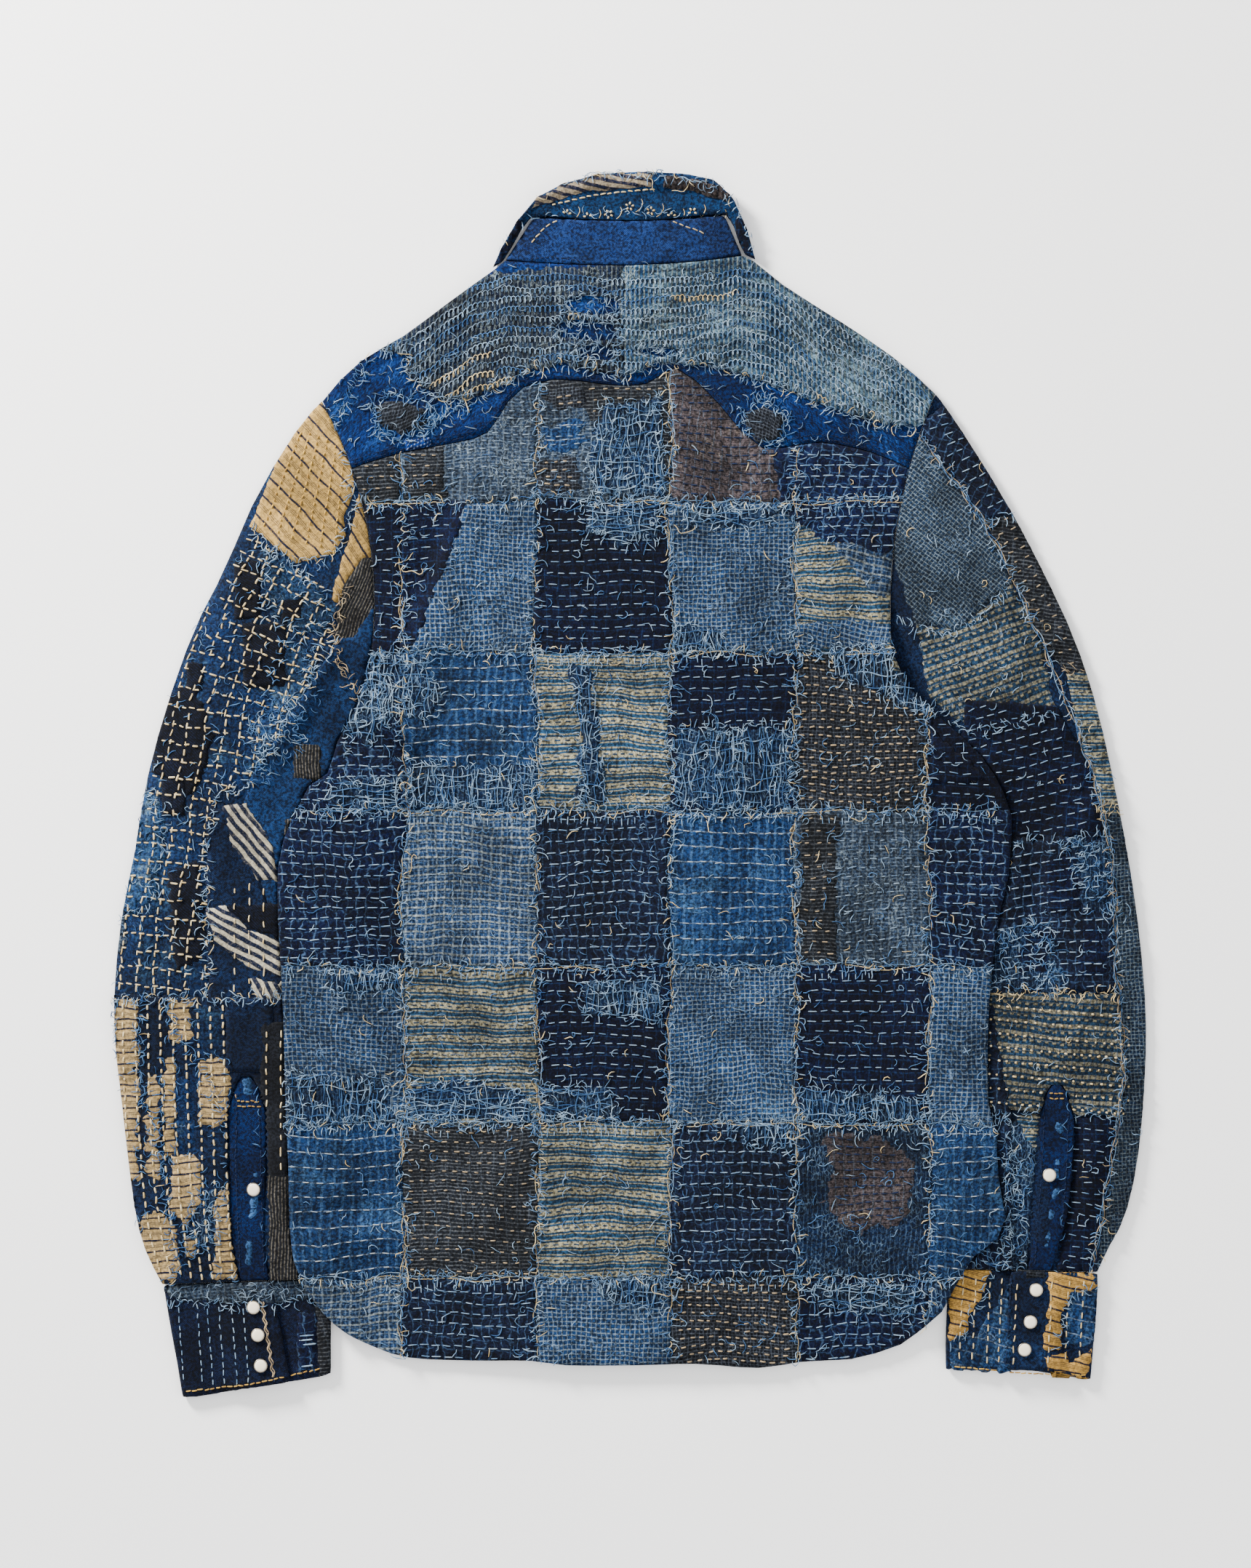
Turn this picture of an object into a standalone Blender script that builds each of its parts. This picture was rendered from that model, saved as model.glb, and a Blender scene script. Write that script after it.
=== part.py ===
# A patched boro shirt-jacket, laid flat and face down, so that its back shows.
# X runs across the back, Y from the hem to the collar, and Z up from the surface it lies on.
# Sizes and tables are in millimetres, and the meshes are made in metres.

import math

import bmesh
import bpy
from mathutils.geometry import delaunay_2d_cdt

MM = 0.001

# Walls of the cloth, which is two to four layers stitched through
FRONT_WALL = 2.0
BACK_WALL = 2.0
YOKE_WALL = 2.6
BAND_WALL = 2.0
SLEEVE_WALL = 2.0
CUFF_WALL = 2.5
COLLAR_WALL = 2.4
PLACKET_WALL = 1.4

SEAM_STEP = 0.25  # how far each piece stops short of a seam line
LAYER_GAP = 0.4  # between layers that lie on each other
PLACKET_GAP = 0.35  # between a sleeve and its placket strip
SNAP_GAP = 0.3  # between a cap and the cloth under it
SLEEVE_TOP = 5.4  # height of a sleeve or cuff where the body lies on it
LIFT = SLEEVE_TOP + LAYER_GAP  # how high the body's sides ride over the sleeves
LIFT_LEDGE = 2.0  # how far past the hidden sleeve edge the body stays lifted
LIFT_RAMP = 20.0  # how far it takes to come down to the surface
RAMP_SLACK = 1.1  # extra room between layers on that slope

# The closed front: the band under, the right front lapped behind it
BAND_LEFT = -23.0
BAND_RIGHT = 13.0
LAP_EDGE = -19.0
LAP_RAMP = 10.0
LAP_FOOT = 0.5  # just past the band, where the right front is already over it
CENTRE_X = -5.0

# The loose back stands off the fronts along its middle
BACK_CROWN = 2.9
CROWN_FLAT = 32.0
CROWN_FADE = 125.0
NECK_RISE = 2.6
NECK_RISE_FROM = 285.0
NECK_RISE_FULL = 325.0

SEAM_RAMP = 1.6  # half width of the step between two patches
FINE_STEP = 22.0  # spacing of points on the patched back
PLAIN_STEP = 34.0  # spacing of points on plain faces
FRONT_STEP = PLAIN_STEP * 1.7  # and on the hidden fronts
EDGE_STEP = 14.0  # spacing of points along outlines

# Body outline, seen from the back, with columns x and y
SIDES = {
    "left": [
        (-179, 84), (-188, 55), (-201, 31), (-208, 9), (-221, 0), (-229, -16), (-238, -36), (-242, -56),
        (-242, -89), (-240, -126), (-238, -169), (-237, -217), (-235, -258), (-234, -303), (-231, -327),
    ],
    "right": [
        (180, 93), (192, 68), (208, 52), (241, 21), (256, -3), (262, -20), (260, -61), (255, -82),
        (249, -121), (246, -164), (246, -217), (251, -236), (253, -268), (258, -296),
    ],
}
HEM = [  # x, y, from the left side's foot to the right side's
    (-231, -327), (-223, -346), (-211, -362), (-195, -376), (-175, -386), (-152, -393), (-110, -395),
    (-68, -395), (-44, -398), (5, -398), (45, -397), (88, -400), (117, -396), (152, -394), (169, -390),
    (186, -384), (203, -371), (214, -361), (221, -348), (236, -323), (252, -311), (258, -296),
]
SHOULDERS = {  # x, y, from the neck to the sleeve
    "left": [(-94, 355), (-125, 333), (-156, 310), (-185, 293), (-211, 268)],
    "right": [(85, 361), (105, 345), (146, 319), (180, 296), (210, 271)],
}
YOKE_EDGE = [  # x, y, from the left armhole to the right one
    (-193, 219), (-156, 230), (-119, 237), (-98, 244), (-84, 265), (-73, 275), (-53, 280), (-35, 279),
    (-12, 276), (11, 277), (31, 288), (45, 279), (62, 262), (77, 244), (91, 233), (105, 233),
    (131, 237), (166, 230), (192, 219),
]

# Patches of the back: seam places, and how far each patch stands up
PATCH_SEAMS_X = (-156, -64, 27, 114, 205)
PATCH_SEAMS_Y = (196, 92, -17, -124, -232, -338)
PATCH_HEIGHTS = (
    (0.5, 0.1, 0.3, 0.6, 0.2, 0.5),
    (0.6, 0.2, 0.7, 0.1, 0.4, 0.2),
    (0.3, 0.1, 0.4, 0.6, 0.2, 0.7),
    (0.6, 0.2, 0.5, 0.1, 0.4, 0.2),
    (0.1, 0.4, 0.7, 0.2, 0.6, 0.1),
    (0.3, 0.6, 0.2, 0.5, 0.1, 0.4),
    (0.5, 0.4, 0.1, 0.6, 0.3, 0.1),
)

# Largest folds of the back: a steep side of one width and a long side of another
FOLD_COLUMNS = ("height", "steep", "long", "steep_side", "route")
BACK_FOLDS = [
    (2.6, 12.0, 46.0, -1, [(-104, 238), (-112, 200), (-126, 156), (-140, 112), (-141, 78)]),
    (2.8, 12.0, 50.0, 1, [(74, 240), (98, 196), (134, 156), (169, 117), (184, 84)]),
    (1.6, 10.0, 14.0, -1, [(-222, -312), (-180, -308), (-130, -314)]),
    (1.8, 8.0, 14.0, -1, [(250, -292), (226, -304), (196, -322)]),
    (1.4, 9.0, 16.0, 1, [(-190, 62), (-158, 40), (-128, 30)]),
]
FOLD_END_FADE = 28.0

# Sleeves, from the armhole to the cuff: outer edge, inner edge under the body, the bow of the
# section towards the body, the rise over its flat height, and where the body starts to cover it
SLEEVE_COLUMNS = ("outer_x", "outer_y", "inner_x", "inner_y", "bow", "rise", "cover")
SLEEVES = {
    "left": [
        (-212, 265, -179, 84, 15, 0.0, 1.00),
        (-229, 246, -178, 79, 14, 1.2, 1.00),
        (-257, 200, -174, 70, 10, 2.6, 0.96),
        (-280, 148, -170, 58, 7, 3.0, 0.90),
        (-300, 108, -168, 42, 4, 3.0, 0.82),
        (-319, 55, -169, 18, 2, 3.2, 0.72),
        (-333, 3, -175, -10, 0, 3.2, 0.66),
        (-341, -45, -184, -50, 0, 3.4, 0.60),
        (-350, -90, -191, -92, 0, 3.6, 0.64),
        (-355, -140, -197, -140, 0, 3.2, 0.70),
        (-354, -180, -200, -178, 0, 2.6, 0.72),
        (-350, -215, -202, -212, 0, 2.2, 0.72),
        (-345, -259, -204, -255, 0, 2.0, 0.74),
        (-340, -295, -208, -293, 0, 1.8, 0.76),
        (-333, -320, -211, -317, 0, 1.2, 0.80),
        (-322, -342.2, -212, -338.4, 0, 0.0, 0.80),
    ],
    "right": [
        (210, 270, 180, 93, 11, 0.0, 1.00),
        (226, 248, 179, 88, 10, 1.2, 1.00),
        (259, 195, 177, 78, 8, 2.6, 0.96),
        (284, 148, 175, 66, 6, 3.0, 0.90),
        (305, 103, 173, 50, 4, 3.2, 0.80),
        (321, 55, 173, 26, 2, 3.4, 0.66),
        (333, 2, 178, -8, 0, 3.2, 0.44),
        (342, -45, 186, -50, 0, 3.0, 0.48),
        (349, -90, 192, -92, 0, 2.8, 0.56),
        (354, -140, 199, -140, 0, 2.8, 0.62),
        (355, -178, 203, -180, 0, 2.6, 0.66),
        (353, -219, 208, -220, 0, 2.4, 0.68),
        (349, -258, 212, -259, 0, 2.2, 0.66),
        (341, -294, 218, -293, 0, 1.8, 0.64),
        (330, -316, 222, -314, 0, 1.2, 0.68),
        (321.5, -333.9, 224, -331.6, 0, 0.0, 0.70),
    ],
}
SLEEVE_SECTIONS = 29

# The side folds of a flattened tube: width of the bevel, heights there as shares, room inside
FOLD_BEVEL = 0.9
FOLD_SHOULDER = 0.85
FOLD_FOOT = 0.3
FOLD_ROOM = 0.6
INNER_SHOULDER = 0.8

COVER_MARGIN = 0.09  # how far short of the body's edge a sleeve is back at its flat height
SLEEVE_LINES = {
    "left": (0.07, 0.15, 0.25, 0.36, 0.495, 0.58, 0.67, 0.80, 0.92),
    "right": (0.07, 0.15, 0.24, 0.33, 0.41, 0.495, 0.62, 0.77, 0.92),
}
SLEEVE_UNDER_LINES = (0.12, 0.36, 0.62, 0.88)

# Sleeve folds run straight between two places given as table row and fraction across
SLEEVE_FOLD_COLUMNS = ("row_a", "across_a", "row_b", "across_b", "width", "height")
SLEEVE_FOLDS = {
    "left": [
        (3.2, 0.10, 7.0, 0.40, 0.09, 1.6),
        (7.0, 0.15, 9.6, 0.15, 0.07, 1.4),
        (8.2, 0.62, 9.6, 0.40, 0.09, 1.8),
    ],
    "right": [
        (4.8, 0.60, 7.4, 0.38, 0.09, 1.6),
        (7.4, 0.38, 9.6, 0.52, 0.09, 1.6),
        (1.5, 0.45, 4.5, 0.22, 0.10, 1.2),
    ],
}

# Placket strips over the sleeve slits: which sleeve lines they span and where they start
PLACKETS = {
    "left": {"first_line": 0.495, "last_line": 0.67, "top_y": -190.0, "snap": (-259, -277)},
    "right": {"first_line": 0.33, "last_line": 0.495, "top_y": -187.0, "snap": (288, -267)},
}

# Cuffs, from the sleeve to the wrist
CUFF_COLUMNS = ("outer_x", "outer_y", "inner_x", "inner_y", "bow")
CUFFS = {
    "left": [(-321.5, -343, -207, -339, 0), (-317, -370, -206, -361, 0), (-312, -397, -206, -384, 0),
             (-308, -421.5, -206, -405, 0)],
    "right": [(322, -334.6, 222, -332.2, 0), (321, -359, 218, -355, 1), (319, -384, 217, -379, 3),
              (317, -409, 217, -402, 5)],
}
CUFF_LAP = 30.0
CUFF_BEND = 2.5  # where a cuff's fold becomes flat
CUFF_CORNER = 0.7  # bevel of that fold
LAP_SLOPE = 11.0  # over which the outer end climbs onto the inner one
LAP_REST = 3.0  # how far before the inner end it is already level
CUFF_OVER_EDGE = {"left": 75.0, "right": 61.0}  # from the outer fold to the lap's edge
CUFF_SNAPS = {
    "left": [(-259, -358), (-256, -377), (-254, -398)],
    "right": [(279, -346), (275, -368), (271, -387)],
}

# Collar: the stand's two edges and the leaf's two edges, from the left fold to the right one
STAND_ROWS = [  # seam x, seam y, top x, top y
    (-86, 362, -67, 391), (-66, 360.8, -51, 390.3), (-45, 359.6, -35, 389.4), (-5, 358.6, -3, 388.6),
    (35, 360.4, 32, 389.6), (57, 362.7, 49, 391.2), (77, 365.4, 65, 393),
]
STAND_END = 0.021  # where the stand's rounded side ends
STAND_LINES = (0.1, 0.22, 0.36, 0.5, 0.64, 0.78, 0.9)
LEAF_LINES = (0.08, 0.17, 0.25, 0.32, 0.42, 0.5, 0.58, 0.68, 0.75, 0.83, 0.92)
STAND_FRONT_DROP = {"seam": 20.0, "top": 6.0}
STAND_HEIGHTS = {"seam": 7.6, "top": 9.0}
STAND_END_HEIGHT = 6.4
LEAF_ROWS = [  # inner x, inner y, outer x, outer y
    (-88, 361.4, -94.5, 357), (-78, 377, -84, 379), (-68.2, 392.2, -64, 405), (-42, 390.6, -32, 419),
    (-5, 389.3, -5, 422), (32, 390.4, 22, 422), (66.2, 394.2, 58, 417), (72.4, 380, 76, 395),
    (79, 366.2, 86, 362.6),
]
LEAF_RINGS = [  # share across the leaf, how much its rolled edge adds there
    (0.0, 0.0), (0.45, 0.5), (0.62, 0.8), (0.74, 3.0), (0.9, 3.2), (1.0, 2.0),
]
LEAF_END_HEIGHT = 5.6
LEAF_RISE = 0.3  # share of the leaf's length over which it rises from its folds
STAND_RISE = 0.12  # share of the stand's length over which it rises from its folds
LEAF_FRONT_SHORT = 0.12  # the hidden half stops short of the shown half by this share

SNAP_RADIUS = 4.8
SNAP_HEIGHT = 2.2
SNAP_SIDES = 14
FRONT_SNAPS = 7
FRONT_SNAP_TOP_Y = 300.0
FRONT_SNAP_PITCH = 96.0
SNAP_HOLE_GAP = 0.4
PEARL = (0.82, 0.76, 0.62)
PEARL_ROUGHNESS = 0.25


def clamp(value):
    return min(1.0, max(0.0, value))


def ease(value):
    value = clamp(value)
    return value * value * (3.0 - 2.0 * value)


def blend(a, b, t):
    return a + (b - a) * t


def through(rows, place):
    # Value of a smooth curve through the rows at a place counted in rows
    last = len(rows) - 1
    i = min(int(place), last - 1)
    t = place - i
    before, a, b, after = rows[max(i - 1, 0)], rows[i], rows[i + 1], rows[min(i + 2, last)]
    return [
        0.5 * (2 * q + (r - p) * t + (2 * p - 5 * q + 4 * r - s) * t * t + (3 * q - p - 3 * r + s) * t ** 3)
        for p, q, r, s in zip(before, a, b, after)
    ]


def smooth_line(rows, step):
    # Points along a smooth curve through the rows, about a step apart
    points = []
    for i in range(len(rows) - 1):
        count = max(1, round(math.dist(rows[i], rows[i + 1]) / step))
        points += [tuple(through(rows, i + k / count)) for k in range(count)]
    return points + [tuple(map(float, rows[-1]))]


def x_at(rows, y):
    # Where a line that runs down the garment crosses a height
    if y >= rows[0][1]:
        return rows[0][0]
    for (x0, y0), (x1, y1) in zip(rows, rows[1:]):
        if y >= y1:
            return blend(x0, x1, (y - y0) / (y1 - y0))
    return rows[-1][0]


def y_at(rows, x):
    for (x0, y0), (x1, y1) in zip(rows, rows[1:]):
        if x <= x1:
            return blend(y0, y1, (x - x0) / (x1 - x0))
    return rows[-1][1]


def distance_to_route(route, x, y):
    # Signed distance to a route, and how far from its ends the nearest place lies
    lengths = [math.dist(a, b) for a, b in zip(route, route[1:])]
    total, walked, best = sum(lengths), 0.0, None
    for (a, b), length in zip(zip(route, route[1:]), lengths):
        dx, dy = (b[0] - a[0]) / length, (b[1] - a[1]) / length
        t = min(length, max(0.0, (x - a[0]) * dx + (y - a[1]) * dy))
        offset = math.hypot(x - a[0] - dx * t, y - a[1] - dy * t)
        side = 1.0 if dx * (y - a[1]) - dy * (x - a[0]) > 0 else -1.0
        if best is None or offset < abs(best[0]):
            place = walked + t
            best = (side * offset, min(place, total - place))
        walked += length
    return best


# Seams that two pieces share
def sleeve_row(side, place):
    row = dict(zip(SLEEVE_COLUMNS, through(SLEEVES[side], place)))
    row["place"] = place
    return row


def section_point(row, across, side):
    # A point of a section: straight across from outer to inner edge, bowed towards the body
    dx, dy = row["inner_x"] - row["outer_x"], row["inner_y"] - row["outer_y"]
    length = math.hypot(dx, dy)
    towards = (-dy / length, dx / length) if side == "left" else (dy / length, -dx / length)
    straight = clamp(row["place"]) * ease((across - 0.6) / 0.4)
    bow = row["bow"] * 4.0 * across * (1.0 - across) * (1.0 - straight)
    return (row["outer_x"] + dx * across + towards[0] * bow, row["outer_y"] + dy * across + towards[1] * bow)


def armhole(side, first, last, step_back):
    # The armhole seam between two fractions, kept off the seam line towards the body
    row = sleeve_row(side, 0.0)
    count = max(2, round(abs(last - first) * 15))
    inward = step_back if side == "left" else -step_back
    points = [section_point(row, blend(first, last, k / count), side) for k in range(count + 1)]
    return [(x + inward, y) for x, y in points]


def armhole_share(side, y):
    # Fraction of the armhole at a height
    row = sleeve_row(side, 0.0)
    low, high = 0.0, 1.0
    for _ in range(30):
        middle = (low + high) / 2
        if section_point(row, middle, side)[1] > y:
            low = middle
        else:
            high = middle
    return low


def plan_path(rows, drop=0.0):
    # A path through plan points, by share of the rows, lowered in the middle by the drop
    def path(across):
        if across is None:
            return sum(math.dist(a, b) for a, b in zip(rows, rows[1:]))
        x, y = through(rows, clamp(across) * (len(rows) - 1))
        return (x, y - drop * 4.0 * across * (1.0 - across))
    return path


def neck_seam(drop):
    # The stand's seam as the points where the stand has its lines, from left to right
    path = plan_path([row[:2] for row in STAND_ROWS], drop)
    return [path(across) for across in (0.0, STAND_END, *STAND_LINES, 1.0 - STAND_END, 1.0)]


def neck_front(x):
    return y_at(neck_seam(STAND_FRONT_DROP["seam"]), x)


def neck_edge(drop, low_x, high_x):
    # The panel's edge along the stand's seam, a step back from it
    return [(x, y - SEAM_STEP * 2.4) for x, y in neck_seam(drop) if low_x < x < high_x]


# Heights of the layers
def hidden_edge(side):
    # The sleeve's and cuff's inner edge, which the body lies on
    sleeve = [(row[2], row[3]) for row in SLEEVES[side][:-1]]
    return sleeve + [(row[2], row[3]) for row in CUFFS[side]]


def ramp_share(x, y):
    # 1 over a sleeve, 0 where the body lies on the surface
    share = 0.0
    for side, towards in (("left", 1.0), ("right", -1.0)):
        edge = hidden_edge(side)
        away = max(0.0, (x - x_at(edge, y)) * towards)
        above = max(0.0, y - edge[0][1])
        distance = math.hypot(away, above)
        share = max(share, clamp(1.0 - (distance - LIFT_LEDGE) / LIFT_RAMP))
    return share


def body_lift(x, y):
    return LIFT * ramp_share(x, y)


def lap_rise(x):
    return (BAND_WALL + LAYER_GAP) * clamp((BAND_RIGHT + LAP_RAMP - x) / LAP_RAMP)


def back_rise(x, y):
    off = abs(x - CENTRE_X)
    crown = BACK_CROWN * (1.0 - ease((off - CROWN_FLAT) / (CROWN_FADE - CROWN_FLAT)))
    neck = NECK_RISE * ease((y - NECK_RISE_FROM) / (NECK_RISE_FULL - NECK_RISE_FROM))
    neck *= 1.0 - ease((off - 88.0) / 40.0)
    return max(crown, neck)


def fold_height(x, y):
    total = 0.0
    for values in BACK_FOLDS:
        fold = dict(zip(FOLD_COLUMNS, values))
        offset, from_end = distance_to_route(fold["route"], x, y)
        width = fold["steep"] if offset * fold["steep_side"] > 0 else fold["long"]
        total += fold["height"] * math.exp(-((offset / width) ** 2)) * ease(from_end / FOLD_END_FADE)
    return total


def back_under(x, y):
    share = ramp_share(x, y)
    slack = RAMP_SLACK * 4.0 * share * (1.0 - share)
    return LIFT * share + FRONT_WALL + LAYER_GAP + slack + back_rise(x, y) + fold_height(x, y)


def patch_height(x, y):
    # The patches' steps, each a short slope centred on its seam
    def spread(seams, value):
        # How much each column or row of patches counts at this place
        shares = [1.0]
        for seam in seams:
            past = clamp((value - seam) / (2.0 * SEAM_RAMP) + 0.5)
            shares.append(past)
        return [share - after for share, after in zip(shares, shares[1:] + [0.0])]

    columns = spread(PATCH_SEAMS_X, x)
    rows = spread([-seam for seam in PATCH_SEAMS_Y], -y)
    return sum(
        PATCH_HEIGHTS[i][j] * row * column
        for i, row in enumerate(rows) if row > 0.0
        for j, column in enumerate(columns) if column > 0.0
    )


def back_over(x, y):
    return back_under(x, y) + BACK_WALL + patch_height(x, y)


def yoke_over(x, y):
    return back_under(x, y) + YOKE_WALL


# Making meshes
def clear_scene():
    for item in list(bpy.data.objects):
        bpy.data.objects.remove(item, do_unlink=True)


def material(name, colour, roughness, metallic=0.0):
    made = bpy.data.materials.new(name)
    made.use_nodes = True
    shader = made.node_tree.nodes["Principled BSDF"]
    shader.inputs["Base Color"].default_value = (*colour, 1.0)
    shader.inputs["Roughness"].default_value = roughness
    shader.inputs["Metallic"].default_value = metallic
    return made


def add_object(name, points, faces, finish):
    # One closed body: faces turned outwards and made into triangles
    mesh = bpy.data.meshes.new(name)
    mesh.from_pydata([(x * MM, y * MM, z * MM) for x, y, z in points], [], faces)
    shape = bmesh.new()
    shape.from_mesh(mesh)
    bmesh.ops.recalc_face_normals(shape, faces=shape.faces)
    bmesh.ops.triangulate(shape, faces=shape.faces)
    shape.to_mesh(mesh)
    shape.free()
    made = bpy.data.objects.new(name, mesh)
    bpy.context.scene.collection.objects.link(made)
    made.data.materials.append(finish)
    return made


def inside(outline, x, y):
    found = False
    for (x0, y0), (x1, y1) in zip(outline, outline[1:] + outline[:1]):
        if (y0 > y) != (y1 > y) and x < x0 + (y - y0) * (x1 - x0) / (y1 - y0):
            found = not found
    return found


def edge_distance(outline, x, y):
    best = 1e9
    for (x0, y0), (x1, y1) in zip(outline, outline[1:] + outline[:1]):
        dx, dy = x1 - x0, y1 - y0
        t = clamp(((x - x0) * dx + (y - y0) * dy) / (dx * dx + dy * dy))
        best = min(best, math.hypot(x - x0 - dx * t, y - y0 - dy * t))
    return best


def face_triangles(outline, lines, step):
    # Triangles over an outline, with points along the lines and on a grid between them
    points, edges = list(outline), []
    for line in lines:
        previous = None
        for x, y in line:
            if inside(outline, x, y) and edge_distance(outline, x, y) > 2.0:
                points.append((x, y))
                if previous is not None:
                    edges.append((previous, len(points) - 1))
                previous = len(points) - 1
            else:
                previous = None
    fixed = points[len(outline):]
    xs, ys = [p[0] for p in outline], [p[1] for p in outline]
    for j in range(int((max(ys) - min(ys)) / step) + 1):
        for i in range(int((max(xs) - min(xs)) / step) + 1):
            x = min(xs) + (i + (0.5 if j % 2 else 0.2)) * step
            y = min(ys) + (j + 0.4) * step
            if not inside(outline, x, y) or edge_distance(outline, x, y) < 0.45 * step:
                continue
            if all(abs(x - a) > 0.5 * step or math.hypot(x - a, y - b) > 0.5 * step for a, b in fixed):
                points.append((x, y))
    border = list(range(len(outline)))
    found, _, triangles, origins, _, _ = delaunay_2d_cdt(points, edges, [border], 1, 1e-5)
    placed = [(p[0], p[1]) for p in found]
    place_of = {first: k for k, group in enumerate(origins) for first in group}
    return placed, [list(t) for t in triangles], [place_of[i] for i in border]


def panel(name, outline, under, over, finish, under_lines=(), over_lines=(), under_step=PLAIN_STEP,
          over_step=PLAIN_STEP):
    # A slab of cloth between two surfaces, each given as a height over its own points
    points, faces = [], []
    borders = []
    for height, lines, step in ((under, under_lines, under_step), (over, over_lines, over_step)):
        placed, triangles, border = face_triangles(outline, lines, step)
        first = len(points)
        points += [(x, y, height(x, y)) for x, y in placed]
        faces += [[first + k for k in triangle] for triangle in triangles]
        borders.append([first + k for k in border])
    low, high = borders
    for a, b, c, d in zip(low, low[1:] + low[:1], high[1:] + high[:1], high):
        faces.append([a, b, c, d])
    return add_object(name, points, faces, finish)


def tube(name, rings, finish):
    # A wall between outer and inner loops of equal counts, open at both ends
    count = len(rings[0][0])
    points, faces = [], []
    for outer, inner in rings:
        points += outer + inner
    for r in range(len(rings) - 1):
        here, there = r * 2 * count, (r + 1) * 2 * count
        for k in range(count):
            after = (k + 1) % count
            faces.append([here + k, here + after, there + after, there + k])
            faces.append([here + count + k, there + count + k, there + count + after, here + count + after])
    for first in (0, (len(rings) - 1) * 2 * count):
        for k in range(count):
            after = (k + 1) % count
            faces.append([first + k, first + count + k, first + count + after, first + after])
    return add_object(name, points, faces, finish)


def flat_ring(over_path, under_path, top, wall, over_lines, under_lines):
    # Outer and inner loops of a flattened tube. The paths give a plan point and its length for a
    # fraction across, and top gives the outer height there.
    length = over_path(None)
    first = (top(0.0) / 2.0 + FOLD_FOOT) / length
    near, near_inner = FOLD_BEVEL / length, (wall + FOLD_ROOM) / length
    lines = [first] + [a for a in over_lines if first * 1.5 < a < 1.0 - first * 1.5] + [1.0 - first]
    flat = [first] + list(under_lines) + [1.0 - first]
    half_a, half_b = top(0.0) / 2.0, top(1.0) / 2.0

    def at(path, across, z):
        x, y = path(across)
        return (x, y, z)

    def inner_height(across, share):
        return wall + (top(across) - 2.0 * wall) * share

    outer = [at(over_path, 0.0, half_a), at(over_path, near, top(near) * FOLD_SHOULDER)]
    inner = [at(over_path, wall / length, half_a),
             at(over_path, near_inner, inner_height(near_inner, INNER_SHOULDER))]
    for across in lines:
        outer.append(at(over_path, across, top(across)))
        inner.append(at(over_path, across, inner_height(across, 1.0)))
    outer += [at(over_path, 1.0 - near, top(1.0 - near) * FOLD_SHOULDER), at(over_path, 1.0, half_b)]
    outer.append(at(under_path, 1.0 - near, half_b * FOLD_FOOT))
    inner += [at(over_path, 1.0 - near_inner, inner_height(1.0 - near_inner, INNER_SHOULDER)),
              at(over_path, 1.0 - wall / length, half_b),
              at(under_path, 1.0 - near_inner, inner_height(1.0 - near_inner, 1.0 - INNER_SHOULDER))]
    for across in reversed(flat):
        outer.append(at(under_path, across, 0.0))
        inner.append(at(under_path, across, wall))
    outer.append(at(under_path, near, half_a * FOLD_FOOT))
    inner.append(at(under_path, near_inner, inner_height(near_inner, 1.0 - INNER_SHOULDER)))
    return outer, inner


def grid_lines(low_x, high_x, low_y, high_y, step):
    # The two edges of every patch seam, as rows of points
    lines = []
    rows = int((high_y - low_y) / step) + 1
    columns = int((high_x - low_x) / step) + 1
    for seam in PATCH_SEAMS_X:
        for x in (seam - SEAM_RAMP, seam + SEAM_RAMP):
            lines.append([(x, blend(low_y, high_y, k / rows)) for k in range(rows + 1)])
    for seam in PATCH_SEAMS_Y:
        for y in (seam - SEAM_RAMP, seam + SEAM_RAMP):
            lines.append([(blend(low_x, high_x, k / columns), y) for k in range(columns + 1)])
    return lines


def ramp_lines(step):
    # The top and the foot of the slope beside each hidden sleeve edge
    lines = []
    for side, towards in (("left", 1.0), ("right", -1.0)):
        edge = smooth_line(hidden_edge(side), step)
        for off in (LIFT_LEDGE, LIFT_LEDGE + LIFT_RAMP):
            line = [(x + off * towards, y) for x, y in edge]
            if off > LIFT_LEDGE:
                top_x, top_y = edge[0]
                line = [(top_x + off * towards * 0.7, top_y + off * 0.7)] + line
                line = [(top_x + off * towards * 0.1, top_y + off)] + line
            lines.append(line)
    return lines


def fold_lines(step):
    lines = []
    for values in BACK_FOLDS:
        fold = dict(zip(FOLD_COLUMNS, values))
        route = smooth_line(fold["route"], step)
        lines.append(route)
        for off in (fold["steep"], fold["steep"] * 2.0):
            shifted = []
            for (x0, y0), (x1, y1) in zip(route, route[1:]):
                length = math.dist((x0, y0), (x1, y1))
                shifted.append((x0 - (y1 - y0) / length * off * fold["steep_side"],
                                y0 + (x1 - x0) / length * off * fold["steep_side"]))
            lines.append(shifted)
    return lines


# The pieces
def body_outline(top_left, top_right, top_edge):
    # From the top left corner down the left side, along the hem, up the right side and back
    left = smooth_line(SIDES["left"], EDGE_STEP)
    hem = smooth_line(HEM, EDGE_STEP)
    right = smooth_line(list(reversed(SIDES["right"])), EDGE_STEP)
    return top_left + left[1:-1] + hem + right[1:-1] + top_right + top_edge


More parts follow.
